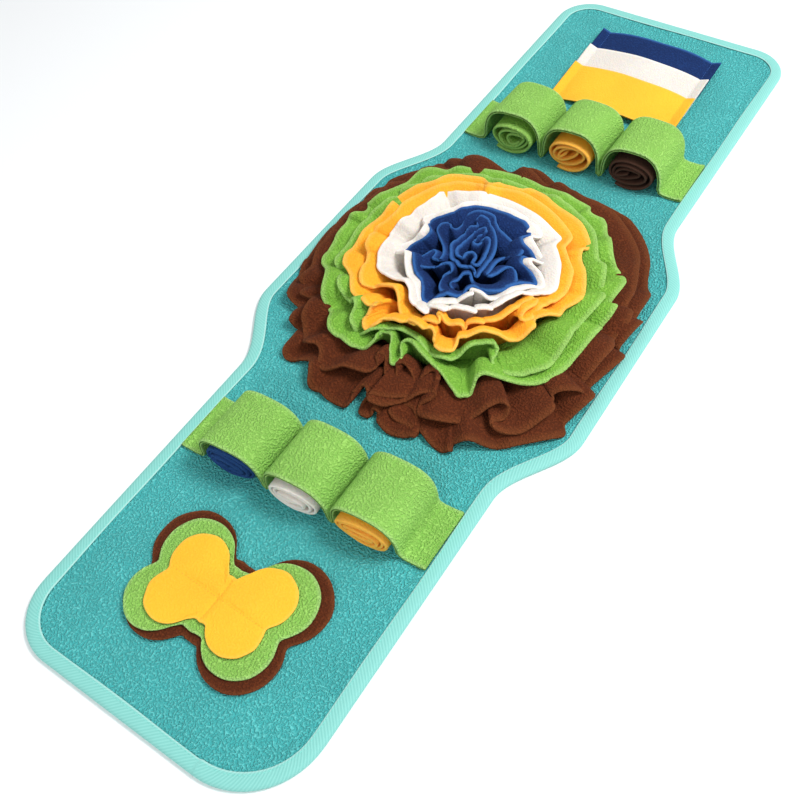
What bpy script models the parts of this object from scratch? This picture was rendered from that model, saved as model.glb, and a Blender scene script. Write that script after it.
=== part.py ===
"""Snuffle mat: a flat fleece mat bound with tape, a gathered rosette in the middle,
two strap rows that hold rolled fleece, a layered butterfly and three striped pocket strips.

Sizes are in millimetres in the tables and are scaled to metres when a mesh is made.
X runs across the mat, Y along it and Z up. The mat lies flat with its underside at Z = 0.
"""
import math
from collections import namedtuple

import bpy
import numpy as np

for leftover in list(bpy.data.objects):
    bpy.data.objects.remove(leftover, do_unlink=True)

MM = 0.001

# ---------------------------------------------------------------- driving sizes
MAT_LENGTH = 899.0
END_HALF_WIDTH = 128.0
MIDDLE_HALF_WIDTH = 163.0
WIDE_TO = 86.0            # the full width runs this far each way from the centre
NARROW_FROM = 166.0       # the end width starts this far from the centre
CORNER_RADIUS = 38.0
NEAR_LEFT_RADIUS = 46.0
NEAR_RIGHT_RADIUS = 64.0

BASE_THICK = 3.0
TAPE_THICK = 1.0
TAPE_COVER = 11.5         # how far the tape reaches in from the edge, above and below
TAPE_GAP = 0.3
RIM_LIFT = TAPE_THICK + TAPE_GAP
RIM_RAMP = 6.0            # width over which the base climbs into the tape

FLEECE = 2.0              # thickness of the ruffle fleece
STRAP_THICK = 2.4
STRAP_WIDTH = 54.0
MOTIF_THICK = 1.6
GAP = 0.35                # air between pieces that lie on each other

ROSE_X = 0.0
ROSE_Y = 3.0

# ---------------------------------------------------------------- materials
Colour = namedtuple("Colour", "red green blue")
COLOURS = {
    "teal_fleece": Colour(0.085, 0.500, 0.500),
    "aqua_tape": Colour(0.270, 0.760, 0.690),
    "green_fleece": Colour(0.160, 0.520, 0.060),
    "lime_fleece": Colour(0.300, 0.640, 0.120),
    "yellow_fleece": Colour(0.960, 0.600, 0.060),
    "orange_fleece": Colour(1.000, 0.430, 0.035),
    "white_fleece": Colour(0.860, 0.840, 0.790),
    "blue_fleece": Colour(0.020, 0.085, 0.300),
    "brown_fleece": Colour(0.180, 0.060, 0.030),
    "dark_brown_fleece": Colour(0.045, 0.018, 0.010),
}


def cloth_material(name):
    """Make the rough, non-metallic cloth material called name."""
    colour = COLOURS[name]
    material = bpy.data.materials.new(name)
    material.use_nodes = True
    shader = material.node_tree.nodes["Principled BSDF"]
    shader.inputs["Base Color"].default_value = (colour.red, colour.green, colour.blue, 1.0)
    shader.inputs["Roughness"].default_value = 0.95
    shader.inputs["Metallic"].default_value = 0.0
    return material


MATERIALS = {name: cloth_material(name) for name in COLOURS}


# ---------------------------------------------------------------- mesh helpers
def add_mesh(name, points_mm, faces, material):
    """Add one closed body from points in millimetres."""
    mesh = bpy.data.meshes.new(name)
    mesh.from_pydata([(p[0] * MM, p[1] * MM, p[2] * MM) for p in points_mm], [], faces)
    mesh.validate()
    mesh.update()
    body = bpy.data.objects.new(name, mesh)
    bpy.context.scene.collection.objects.link(body)
    mesh.materials.append(MATERIALS[material])
    for polygon in mesh.polygons:
        polygon.use_smooth = True
    return body


def grid_normals(grid, closed):
    """Unit normals of a grid of points, closed or open along its first direction."""
    if closed:
        along = np.roll(grid, -1, axis=0) - np.roll(grid, 1, axis=0)
    else:
        along = np.gradient(grid, axis=0)
    across = np.gradient(grid, axis=1)
    normals = np.cross(along, across)
    lengths = np.linalg.norm(normals, axis=2, keepdims=True)
    return normals / np.maximum(lengths, 1e-9)


def sheet_body(name, grid, thickness, material, closed):
    """Give a grid of mid-surface points its thickness, and close it all round."""
    normals = grid_normals(grid, closed)
    upper = grid + normals * thickness / 2.0
    lower = grid - normals * thickness / 2.0
    rows, columns = grid.shape[0], grid.shape[1]
    points = np.concatenate([upper.reshape(-1, 3), lower.reshape(-1, 3)])
    below = rows * columns

    def index(row, column):
        return (row % rows) * columns + column

    faces = []
    spans = rows if closed else rows - 1
    for row in range(spans):
        for column in range(columns - 1):
            corner = (index(row, column), index(row + 1, column),
                      index(row + 1, column + 1), index(row, column + 1))
            faces.append(corner)
            faces.append(tuple(below + c for c in reversed(corner)))
        start, end = index(row, 0), index(row + 1, 0)
        faces.append((start, below + start, below + end, end))
        start, end = index(row, columns - 1), index(row + 1, columns - 1)
        faces.append((start, end, below + end, below + start))
    if not closed:
        for column in range(columns - 1):
            start, end = index(0, column), index(0, column + 1)
            faces.append((start, end, below + end, below + start))
            start, end = index(rows - 1, column), index(rows - 1, column + 1)
            faces.append((start, below + start, below + end, end))
    return add_mesh(name, points, faces, material)


def smooth_step(value):
    """Ease from 0 to 1."""
    value = min(max(value, 0.0), 1.0)
    return value * value * (3.0 - 2.0 * value)


def closed_spline(rows, per_row):
    """Catmull-Rom curve through closed rows of numbers, per_row points for each row."""
    rows = np.asarray(rows, dtype=float)
    count = len(rows)
    result = []
    for i in range(count):
        before, start = rows[i - 1], rows[i]
        end, after = rows[(i + 1) % count], rows[(i + 2) % count]
        for step in range(per_row):
            t = step / per_row
            result.append(0.5 * (2.0 * start + (end - before) * t
                                 + (2.0 * before - 5.0 * start + 4.0 * end - after) * t * t
                                 + (3.0 * start - before - 3.0 * end + after) * t ** 3))
    return np.array(result)


# ---------------------------------------------------------------- outline of the mat
def half_width(along):
    """Half of the mat's width at a distance along it."""
    ease = smooth_step((NARROW_FROM - abs(along)) / (NARROW_FROM - WIDE_TO))
    return END_HALF_WIDTH + (MIDDLE_HALF_WIDTH - END_HALF_WIDTH) * ease


def corner_arc(radius):
    """Points of one rounded corner at the far right, from the end edge to the side."""
    arc = []
    for step in range(6):
        turn = math.pi / 2.0 * step / 5.0
        arc.append((END_HALF_WIDTH - radius + radius * math.sin(turn),
                    MAT_LENGTH / 2.0 - radius + radius * math.cos(turn)))
    return arc


def side_points(near_radius):
    """Points of one long side of the outline, from the near end to the far end."""
    steps = [330.0, 250.0, 180.0]
    steps += [NARROW_FROM - (NARROW_FROM - WIDE_TO) * k / 6.0 for k in range(7)]
    steps += [40.0]
    waist = [(half_width(y), y) for y in steps]
    lower = [(x, -y) for x, y in corner_arc(near_radius) + waist]
    upper = corner_arc(CORNER_RADIUS) + waist
    return lower + [(half_width(0.0), 0.0)] + upper[::-1]


def outline():
    """The whole outline, counter-clockwise, with its outward normals."""
    right = side_points(NEAR_RIGHT_RADIUS)
    left = side_points(NEAR_LEFT_RADIUS)
    loop = np.array(right + [(-x, y) for x, y in reversed(left)])
    ahead = np.roll(loop, -1, axis=0) - loop
    ahead = ahead / np.linalg.norm(ahead, axis=1, keepdims=True)
    tangent = ahead + np.roll(ahead, 1, axis=0)
    tangent = tangent / np.linalg.norm(tangent, axis=1, keepdims=True)
    return loop, np.stack([tangent[:, 1], -tangent[:, 0]], axis=1)


LOOP, OUTWARD = outline()


def base_lift(inset):
    """How far the base is raised at a distance in from the mat's edge."""
    return RIM_LIFT * (1.0 - smooth_step((inset - TAPE_COVER - 0.7) / RIM_RAMP))


# ---------------------------------------------------------------- base and tape
def make_base():
    """The mat itself: one cloth sheet, its rim raised into the tape that binds it."""
    insets = [1.5, TAPE_COVER + 0.7, TAPE_COVER + 0.7 + RIM_RAMP / 2.0, TAPE_COVER + 0.7 + RIM_RAMP]
    count = len(LOOP)
    points = []
    for top in (True, False):
        for inset in insets:
            height = base_lift(inset) + (BASE_THICK if top else 0.0)
            for spot, normal in zip(LOOP, OUTWARD):
                points.append((spot[0] - normal[0] * inset, spot[1] - normal[1] * inset, height))
    rings = len(insets)
    below = rings * count
    faces = []
    for i in range(count):
        j = (i + 1) % count
        for ring in range(rings - 1):
            a, b = ring * count + i, ring * count + j
            quad = (a, b, b + count, a + count)
            faces.append(quad)
            faces.append(tuple(below + c for c in reversed(quad)))
        faces.append((i, below + i, below + j, j))
    inner = (rings - 1) * count
    half = count // 2
    for i in range(half - 1):
        right_a, right_b = inner + i, inner + i + 1
        left_a, left_b = inner + count - 1 - i, inner + count - 2 - i
        quad = (right_a, right_b, left_b, left_a)
        faces.append(quad)
        faces.append(tuple(below + c for c in reversed(quad)))
    return add_mesh("base", points, faces, "teal_fleece")


def make_tape():
    """The tape folded round the mat's edge, as one ring with a C-shaped section."""
    full = 2.0 * (TAPE_THICK + TAPE_GAP) + BASE_THICK
    inner_low, inner_high = TAPE_THICK, full - TAPE_THICK
    section = [(TAPE_COVER, full), (1.6, full), (0.0, full - 1.9), (0.0, 1.9), (1.6, 0.0),
               (TAPE_COVER, 0.0), (TAPE_COVER, inner_low), (1.2, inner_low),
               (1.2, inner_high), (TAPE_COVER, inner_high)]
    count, corners = len(LOOP), len(section)
    points = []
    for spot, normal in zip(LOOP, OUTWARD):
        for inset, height in section:
            points.append((spot[0] - normal[0] * inset, spot[1] - normal[1] * inset, height))
    faces = []
    for i in range(count):
        j = (i + 1) % count
        for k in range(corners):
            m = (k + 1) % corners
            faces.append((i * corners + k, i * corners + m, j * corners + m, j * corners + k))
    return add_mesh("edge_tape", points, faces, "aqua_tape")


# ---------------------------------------------------------------- rosette of ruffles
# Each ruffle is a strip gathered and sewn down along a ring, its other edge free.
# A row is one bend of the free edge: its angle round the rosette, its distance from the
# middle and its height above or below the ruffle's own edge height.
Bend = namedtuple("Bend", "deg reach lift")
Ruffle = namedtuple("Ruffle", "name cloth root edge_height puff bends")

BROWN_LOW = [
    Bend(0, 149, 0), Bend(14, 152, 2), Bend(30, 158, 0), Bend(44, 166, 2), Bend(60, 172, -1),
    Bend(70, 158, 3), Bend(79, 150, 2), Bend(86, 159, -1), Bend(97, 153, 2), Bend(108, 150, 2),
    Bend(117, 165, -1), Bend(124, 163, 3), Bend(132, 171, 0), Bend(143, 160, 2), Bend(151, 160, 0),
    Bend(161, 150, 3), Bend(170, 146, 2), Bend(180, 150, 0), Bend(194, 152, 2), Bend(206, 160, 0),
    Bend(220, 155, 3), Bend(229, 159, 0), Bend(236, 171, -2), Bend(243, 160, 3), Bend(250, 167, -2),
    Bend(258, 162, -3), Bend(264, 154, 0), Bend(266, 141, 3), Bend(270, 147, 2), Bend(272, 153, 0),
    Bend(275, 143, 3), Bend(279, 147, 2), Bend(281, 156, -1), Bend(286, 157, -2), Bend(288, 150, 1),
    Bend(292, 160, -1), Bend(297, 173, -3), Bend(303, 163, 2), Bend(318, 171, -1), Bend(330, 168, -1),
    Bend(340, 156, 2), Bend(350, 151, 0),
]
BROWN_UP = [
    Bend(1, 140, 0), Bend(9, 145, -1), Bend(17, 141, 2), Bend(25, 145, 0), Bend(35, 150, 2),
    Bend(45, 156, -1), Bend(62, 158, 0), Bend(73, 146, 2), Bend(84, 149, 0), Bend(98, 141, 2),
    Bend(116, 152, 0), Bend(130, 154, 1), Bend(151, 150, 0), Bend(162, 138, 2), Bend(176, 143, 0),
    Bend(200, 145, 1), Bend(212, 147, -1), Bend(221, 141, 3), Bend(229, 148, -1), Bend(235, 156, -2),
    Bend(240, 145, 1), Bend(248, 153, -1), Bend(254, 139, 2), Bend(261, 126, 1), Bend(259, 114, 3),
    Bend(262, 109, 4), Bend(266, 118, 0), Bend(269, 124, 1), Bend(271, 115, 1), Bend(271, 104, 0),
    Bend(275, 103, 1), Bend(280, 114, 0), Bend(284, 112, 1), Bend(285, 105, 3), Bend(289, 109, 2),
    Bend(289, 121, 0), Bend(285, 131, -1), Bend(287, 141, 0), Bend(293, 147, -2), Bend(301, 148, -2),
    Bend(308, 142, 2), Bend(314, 142, 3), Bend(313, 153, -1), Bend(318, 160, -3), Bend(327, 153, 0),
    Bend(333, 145, 1), Bend(338, 152, -1), Bend(349, 144, 1),
]
GREEN_LOW = [
    Bend(0, 126, 0), Bend(8, 131, -1), Bend(15, 128, 1), Bend(23, 133, -1), Bend(31, 134, 0),
    Bend(39, 129, 2), Bend(47, 130, 1), Bend(54, 136, -1), Bend(59, 138, 0), Bend(63, 131, 2),
    Bend(68, 138, -1), Bend(77, 129, 2), Bend(90, 127, 1), Bend(104, 131, 0), Bend(118, 136, 0),
    Bend(131, 141, 0), Bend(144, 137, 1), Bend(155, 130, 0), Bend(162, 125, 2), Bend(167, 131, 0),
    Bend(173, 125, 2), Bend(178, 132, 0), Bend(190, 130, -1), Bend(202, 132, 0), Bend(213, 125, 2),
    Bend(226, 126, 1), Bend(240, 129, 0), Bend(249, 124, 0), Bend(255, 112, 1), Bend(256, 99, 2),
    Bend(260, 95, 3), Bend(264, 104, 1), Bend(268, 113, 0), Bend(271, 108, 1), Bend(268, 97, 2),
    Bend(271, 92, 3), Bend(279, 97, 1), Bend(291, 109, 0), Bend(298, 126, -3), Bend(303, 123, -2),
    Bend(308, 114, 2), Bend(318, 122, 0), Bend(330, 131, -1), Bend(346, 130, 0),
]
GREEN_UP = [
    Bend(0, 115, 0), Bend(9, 118, 0), Bend(22, 120, -1), Bend(32, 116, 1), Bend(41, 115, 2),
    Bend(52, 120, 0), Bend(67, 119, 1), Bend(78, 117, 1), Bend(90, 114, 0), Bend(104, 113, 1),
    Bend(114, 119, 0), Bend(128, 125, 0), Bend(142, 121, 0), Bend(153, 117, 0), Bend(161, 113, 1),
    Bend(167, 110, 2), Bend(173, 114, 0), Bend(183, 111, 1), Bend(192, 113, 0), Bend(202, 117, -1),
    Bend(212, 112, 1), Bend(224, 110, 1), Bend(231, 107, 1), Bend(236, 103, 3), Bend(241, 111, 0),
    Bend(246, 113, -1), Bend(251, 107, 1), Bend(256, 96, 2), Bend(262, 89, 1), Bend(270, 86, 0),
    Bend(279, 91, -1), Bend(287, 97, -1), Bend(294, 98, 0), Bend(301, 91, 2), Bend(308, 87, 2),
    Bend(316, 89, 2), Bend(317, 94, 0), Bend(314, 104, -1), Bend(317, 114, -3), Bend(323, 120, -2),
    Bend(332, 123, -1), Bend(340, 122, 0), Bend(349, 114, 2),
]
YELLOW_LOW = [
    Bend(0, 97, 0), Bend(7, 103, -1), Bend(14, 104, 0), Bend(24, 101, 1), Bend(33, 98, 2),
    Bend(38, 101, 1), Bend(43, 110, -1), Bend(55, 111, 0), Bend(70, 109, 0), Bend(87, 111, -1),
    Bend(93, 103, 1), Bend(103, 102, 1), Bend(108, 97, 3), Bend(113, 109, 0), Bend(120, 114, 0),
    Bend(129, 116, 0), Bend(137, 108, 2), Bend(145, 112, 0), Bend(158, 110, -1), Bend(164, 101, 2),
    Bend(172, 98, 1), Bend(181, 101, 0), Bend(192, 103, 0), Bend(199, 108, -1), Bend(205, 109, -1),
    Bend(212, 104, 1), Bend(226, 101, 0), Bend(233, 98, 1), Bend(240, 95, 1), Bend(244, 89, 3),
    Bend(243.5, 97, 1), Bend(245, 104, -1), Bend(249, 107, -2), Bend(252, 102, 0), Bend(254, 94, 2),
    Bend(262, 87, 1), Bend(272, 82, 2), Bend(279, 81, 1), Bend(283, 86, 0), Bend(285, 92, -2),
    Bend(289, 94, -2), Bend(294, 92, -1), Bend(298, 85, 1), Bend(303, 83, 2), Bend(312, 80, 1),
    Bend(319, 83, 0), Bend(325, 92, -2), Bend(331, 95, -3), Bend(337, 92, 0), Bend(344, 89, 2),
    Bend(352, 94, 0),
]
YELLOW_UP = [
    Bend(0, 87, 0), Bend(10, 91, 0), Bend(22, 91, 1), Bend(31, 87, 1), Bend(38, 85, 2), Bend(45, 93, 0),
    Bend(52, 97, -1), Bend(68, 96, 0), Bend(86, 96, 0), Bend(100, 95, 1), Bend(108, 90, 2),
    Bend(116, 98, 0), Bend(128, 103, -1), Bend(140, 99, 1), Bend(152, 95, 0), Bend(162, 91, 1),
    Bend(171, 86, 2), Bend(180, 90, 0), Bend(187, 94, -1), Bend(194, 89, 2), Bend(202, 88, 1),
    Bend(213, 92, -1), Bend(223, 91, 0), Bend(230, 83, 1), Bend(234, 75, 2), Bend(243, 69, 3),
    Bend(252, 74, 1), Bend(260, 80, -1), Bend(267, 79, -1), Bend(274, 75, 1), Bend(281, 72, 2),
    Bend(284, 69, 3), Bend(289, 74, 1), Bend(296, 72, 0), Bend(300, 75, -1), Bend(307, 73, 0),
    Bend(315, 71, 1), Bend(326, 72, 1), Bend(338, 70, 2), Bend(350, 70, 1), Bend(355, 73, 0),
    Bend(350, 77, 1), Bend(340, 76.5, 2), Bend(336, 80, 0), Bend(341, 84, -1), Bend(352, 82, 0),
]
WHITE_LOW = [
    Bend(0, 77, 0), Bend(7, 82, -1), Bend(15, 81, 1), Bend(24, 80, 2), Bend(33, 78, 1), Bend(42, 78, 0),
    Bend(49, 86, -2), Bend(57, 82, 0), Bend(68, 79, 1), Bend(82, 79, 0), Bend(98, 80, 0),
    Bend(112, 81, 1), Bend(124, 84, 0), Bend(133, 91, -2), Bend(138, 87, 0), Bend(144, 79, 2),
    Bend(154, 75, 1), Bend(165, 75, 0), Bend(174, 72, 2), Bend(183, 77, -1), Bend(193, 73, 2),
    Bend(203, 76, 0), Bend(213, 77, -1), Bend(223, 73, 1), Bend(232, 67, 2), Bend(241, 61, 2),
    Bend(250, 63, 1), Bend(257, 69, -1), Bend(264, 72, -2), Bend(270, 71, -1), Bend(275, 67, 0),
    Bend(282, 63, 2), Bend(291, 61, 2), Bend(301, 62, 1), Bend(309, 66, -1), Bend(317, 66, 0),
    Bend(325, 66, 0), Bend(336, 63, 2), Bend(348, 64, 1), Bend(355, 70, 0),
]
WHITE_UP = [
    Bend(0, 65, 0), Bend(6, 72, -2), Bend(13, 66, 1), Bend(17.5, 57, 3), Bend(21.5, 57, 3), Bend(25, 66, 0),
    Bend(28, 67, -2), Bend(36, 62, 1), Bend(45, 58, 3), Bend(50, 61, 2), Bend(54, 71, -1),
    Bend(67, 72, 0), Bend(78, 69, 1), Bend(92, 68, 0), Bend(104, 69, 0), Bend(115, 69, 0),
    Bend(123, 63, 2), Bend(133, 60, 1), Bend(143, 61, 0), Bend(154, 63, 0), Bend(162, 59, 1),
    Bend(167, 51, 3), Bend(173, 46, 4), Bend(180, 47, 4), Bend(186, 53, 1), Bend(193, 60, -1),
    Bend(200, 61, -1), Bend(207, 53, 3), Bend(219, 52, 2), Bend(233, 53, 1), Bend(247, 53, 1),
    Bend(256, 58, 0), Bend(262, 63, -2), Bend(269, 63, -2), Bend(275, 58, 1), Bend(285, 54, 2),
    Bend(297, 53, 2), Bend(303, 48, 4), Bend(311, 45, 4), Bend(319, 50, 2), Bend(333, 55, 0),
    Bend(346, 57, 1),
]
BLUE_OUTER = [
    Bend(0, 58, 0), Bend(6, 65, -2), Bend(11, 58, 1), Bend(16, 49, 2), Bend(23, 49, 2), Bend(26, 55, 0),
    Bend(29, 59, -2), Bend(36, 55, 1), Bend(43, 50, 2), Bend(52, 52, 1), Bend(58, 63, -2),
    Bend(67, 65, 0), Bend(78, 62, 1), Bend(92, 61, 0), Bend(104, 62, 0), Bend(115, 62, 0),
    Bend(123, 56, 2), Bend(133, 53, 1), Bend(143, 54, 0), Bend(154, 56, -1), Bend(162, 52, 0),
    Bend(167, 44, 2), Bend(173, 39, 3), Bend(180, 40, 2), Bend(186, 46, 0), Bend(193, 53, -2),
    Bend(200, 54, -2), Bend(207, 46, 1), Bend(219, 45, 2), Bend(233, 46, 0), Bend(247, 46, 0),
    Bend(256, 51, 0), Bend(262, 57, -2), Bend(269, 57, -2), Bend(275, 51, 1), Bend(285, 47, 2),
    Bend(297, 46, 1), Bend(303, 41, 2), Bend(311, 38, 2), Bend(319, 43, 0), Bend(333, 47, -1),
    Bend(346, 50, 0),
]

RUFFLES = [
    Ruffle("ruffle_brown_low", "brown_fleece", 110.0, 9.0, 3.5, BROWN_LOW),
    Ruffle("ruffle_brown_up", "brown_fleece", 96.0, 19.0, 3.0, BROWN_UP),
    Ruffle("ruffle_green_low", "green_fleece", 88.0, 28.0, 1.0, GREEN_LOW),
    Ruffle("ruffle_green_up", "green_fleece", 77.0, 34.0, 0.0, GREEN_UP),
    Ruffle("ruffle_yellow_low", "orange_fleece", 66.5, 39.5, 0.0, YELLOW_LOW),
    Ruffle("ruffle_yellow_up", "orange_fleece", 56.5, 43.5, 0.0, YELLOW_UP),
    Ruffle("ruffle_white_low", "white_fleece", 47.5, 46.5, 0.0, WHITE_LOW),
    Ruffle("ruffle_white_up", "white_fleece", 38.5, 48.5, 0.0, WHITE_UP),
    Ruffle("ruffle_blue_outer", "blue_fleece", 30.0, 50.0, 0.0, BLUE_OUTER),
]

# The middle of the rosette is three short blue strips that meander.
# A row is one bend: where it lies across and along from the rosette's middle, and its lift.
Turn = namedtuple("Turn", "across along lift")
BLUE_MIDDLE = [
    Turn(43, -4, 0), Turn(40, -13, 0), Turn(33, -19, 0), Turn(25, -20, 1), Turn(18, -16, 0),
    Turn(11, -17, -2), Turn(7, -26, -3), Turn(3, -36, -1), Turn(-3, -34, 0), Turn(-4, -24, -2),
    Turn(-10, -21, 0), Turn(-17, -26, 1), Turn(-23, -28, 0), Turn(-28, -24, 0), Turn(-31, -16, -1),
    Turn(-31, -9, 0), Turn(-26, -7, 1), Turn(-26, 0, -2), Turn(-32, 7, 0), Turn(-38, 13, 0),
    Turn(-43, 21, -1), Turn(-40, 28, 0), Turn(-32, 24, 1), Turn(-26, 23, -2), Turn(-25, 33, 0),
    Turn(-26, 44, 0), Turn(-20, 52, 1), Turn(-9, 54, 0), Turn(0, 50, -1), Turn(7, 42, 0),
    Turn(17, 37, 1), Turn(27, 34, 0), Turn(36, 30, -1), Turn(38, 23, 0), Turn(32, 19, 1),
    Turn(28, 10, -2), Turn(30, 1, -2), Turn(36, 0, 1), Turn(42, 5, 0),
]
BLUE_INNER = [
    Turn(17, -8, 0), Turn(11, -9, 1), Turn(4, -13, 0), Turn(-4, -12, -2), Turn(-11, -10, 0),
    Turn(-17, -6, 1), Turn(-19, 4, 0), Turn(-18, 16, -1), Turn(-18, 28, 0), Turn(-18, 40, 1),
    Turn(-12, 46, 0), Turn(-5, 44, -2), Turn(0, 36, 0), Turn(8, 31, 1), Turn(14, 24, -1),
    Turn(18, 14, 0), Turn(21, 2, 0),
]
BLUE_CORE = [
    Turn(11, 3, 0), Turn(8, 8, 1), Turn(2, 8, 0), Turn(-1, 14, -1), Turn(0, 22, 0),
    Turn(-3, 29, 1), Turn(-8, 30, 0), Turn(-10, 22, -1), Turn(-9, 12, 0), Turn(-10, 3, 1),
    Turn(-6, -3, 0), Turn(0, -4, -1), Turn(6, -3, 0),
]
Curl = namedtuple("Curl", "name root_scale root_x root_y edge_height turns")
CURLS = [
    Curl("ruffle_blue_middle", 0.47, 0.0, 1.0, 50.5, BLUE_MIDDLE),
    Curl("ruffle_blue_inner", 0.40, 0.0, 3.0, 50.0, BLUE_INNER),
    Curl("ruffle_blue_core", 0.38, 0.0, 5.0, 49.0, BLUE_CORE),
]

STRIP_ROWS = [0.0, 0.5, 1.0]
PER_BEND = 2
CALM_PASSES = 5
DROOP = 0.18              # height lost for each millimetre that a fold reaches out
ROOT_HEIGHT = BASE_THICK + GAP + FLEECE / 2.0


def reach_out(part):
    """How much of the way out from root to edge a strip has come at a part of its height."""
    return part ** 1.6


def climb(part):
    """How much of the way up a strip has come at a part of its width."""
    return 1.0 - (1.0 - part) ** 1.7


def fold_share(part):
    """How deep a fold already is at a part of the strip's width, against its free edge."""
    return 0.10 + 0.90 * part ** 0.75


def strip_grid(root, edge, puff):
    """Points of a gathered strip between its sewn root and its free edge."""
    calm = edge.copy()
    for _ in range(CALM_PASSES):
        calm = (np.roll(calm, 1, axis=0) + calm + np.roll(calm, -1, axis=0)) / 3.0
    grid = []
    for low, high, mean in zip(root, edge, calm):
        line = []
        for part in STRIP_ROWS:
            out = reach_out(part)
            rise = climb(part)
            share = fold_share(part)
            line.append((low[0] + (mean[0] - low[0]) * out + (high[0] - mean[0]) * share,
                         low[1] + (mean[1] - low[1]) * out + (high[1] - mean[1]) * share,
                         low[2] + (high[2] - low[2]) * rise + puff * 4.0 * part * (1.0 - part)))
        grid.append(line)
    return np.array(grid)


def usual_reach(bends, place):
    """Mean reach of the bends near one of them."""
    near = [bends[(place + step) % len(bends)].reach for step in (-3, -2, -1, 0, 1, 2, 3)]
    return sum(near) / len(near)


def make_ruffle(ruffle):
    """One gathered ring of the rosette. A fold that reaches far out also hangs lower."""
    edge_rows = []
    for place, bend in enumerate(ruffle.bends):
        turn = math.radians(bend.deg)
        droop = DROOP * (bend.reach - usual_reach(ruffle.bends, place))
        height = max(ruffle.edge_height + bend.lift - droop, ROOT_HEIGHT + 0.8)
        edge_rows.append((ROSE_X + bend.reach * math.cos(turn), ROSE_Y + bend.reach * math.sin(turn),
                          height))
    edge = closed_spline(edge_rows, PER_BEND)
    root = root_ring(ruffle, edge)
    return sheet_body(ruffle.name, strip_grid(root, edge, ruffle.puff), FLEECE, ruffle.cloth, True)


def root_ring(ruffle, edge):
    """Sewn line of a ruffle: a circle whose angles follow the free edge without going back."""
    angles = np.unwrap(np.arctan2(edge[:, 1] - ROSE_Y, edge[:, 0] - ROSE_X))
    count = len(angles)
    even = angles[0] + 2.0 * math.pi * np.arange(count) / count
    drift = angles - even
    for _ in range(6):
        drift = (np.roll(drift, 1) + drift + np.roll(drift, -1)) / 3.0
    turns = even + drift
    ring = np.stack([ROSE_X + ruffle.root * np.cos(turns), ROSE_Y + ruffle.root * np.sin(turns),
                     np.full(count, ROOT_HEIGHT)], axis=1)
    return ring


def make_curl(curl):
    """One meandering blue strip in the middle of the rosette."""
    rows = [(ROSE_X + t.across, ROSE_Y + t.along - 3.0, curl.edge_height + t.lift) for t in curl.turns]
    edge = closed_spline(rows, PER_BEND)
    middle = np.array([ROSE_X + curl.root_x, ROSE_Y + curl.root_y])
    root = edge.copy()
    for _ in range(3):
        root = (np.roll(root, 1, axis=0) + root + np.roll(root, -1, axis=0)) / 3.0
    root[:, :2] = middle + (root[:, :2] - middle) * curl.root_scale
    root[:, 2] = BASE_THICK + 2.0 * GAP
    return sheet_body(curl.name, strip_grid(root, edge, 0.0), FLEECE, "blue_fleece", True)


# ---------------------------------------------------------------- strap rows and rolls
# Each strap lies flat at both ends and makes three loops, sewn down to the base between them.
Loop = namedtuple("Loop", "middle half front_height back_height")
Strap = namedtuple("Strap", "name along slant loops")
Roll = namedtuple("Roll", "name cloth across along half_width height length")

STRAPS = [
    Strap("strap_near", -223.0, 0.052, [Loop(-62.0, 31.0, 42.5, 41.0), Loop(1.0, 30.0, 43.5, 43.0),
                                        Loop(63.5, 30.0, 43.5, 43.0)]),
    Strap("strap_far", 220.0, 0.048, [Loop(-62.0, 31.0, 48.0, 43.0), Loop(1.0, 30.0, 48.5, 42.5),
                                      Loop(63.5, 30.0, 47.0, 43.0)]),
]
ROLLS = [
    Roll("roll_near_blue", "blue_fleece", -61.5, -228.0, 25.8, 35.0, 59.0),
    Roll("roll_near_white", "white_fleece", 1.2, -226.0, 25.0, 36.0, 62.0),
    Roll("roll_near_orange", "orange_fleece", 63.5, -222.5, 25.5, 36.0, 62.0),
    Roll("roll_far_green", "green_fleece", -61.5, 213.5, 25.8, 36.5, 60.0),
    Roll("roll_far_orange", "orange_fleece", 1.2, 217.0, 25.0, 36.5, 60.0),
    Roll("roll_far_brown", "dark_brown_fleece", 63.5, 220.5, 25.5, 36.5, 58.0),
]
WIND_STEP = 0.06          # drop at a roll's loose end, as a share of its radius
TAB_END = 115.7
STRAP_SEAT = BASE_THICK + GAP + STRAP_THICK / 2.0


def strap_path(strap, back):
    """The strap's centre line across the mat, at its front edge (0) or back edge (1)."""
    path = [(-TAB_END, STRAP_SEAT + base_lift(END_HALF_WIDTH - TAB_END)),
            (-TAB_END + 6.5, STRAP_SEAT), (-99.0, STRAP_SEAT)]
    for number, loop in enumerate(strap.loops):
        top = loop.front_height + (loop.back_height - loop.front_height) * back
        rise = top - STRAP_THICK / 2.0 - STRAP_SEAT
        last = number == len(strap.loops) - 1
        half = loop.half - 1.0
        for step in range(12):
            turn = math.pi * (1.0 - step / 11.0)
            side, up = math.cos(turn), math.sin(turn)
            x = loop.middle + half * math.copysign(abs(side) ** 0.64, side)
            z = STRAP_SEAT + rise * abs(up) ** 0.66
            path.append((x, z))
        if not last:
            following = strap.loops[number + 1]
            foot = (loop.middle + loop.half + following.middle - following.half) / 2.0
            path.append((foot, STRAP_SEAT))
    path += [(99.0, STRAP_SEAT), (TAB_END - 6.5, STRAP_SEAT),
             (TAB_END, STRAP_SEAT + base_lift(END_HALF_WIDTH - TAB_END))]
    return path


def make_strap(strap):
    """One strap with its two flat ends and three loops."""
    grid = []
    rows = [0.0, 0.5, 1.0]
    paths = [strap_path(strap, row) for row in rows]
    for step in range(len(paths[0])):
        line = []
        for row, path in zip(rows, paths):
            x, z = path[step]
            y = strap.along + strap.slant * x + (row - 0.5) * STRAP_WIDTH
            line.append((x, y, z))
        grid.append(line)
    return sheet_body(strap.name, np.array(grid), STRAP_THICK, "lime_fleece", False)


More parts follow.
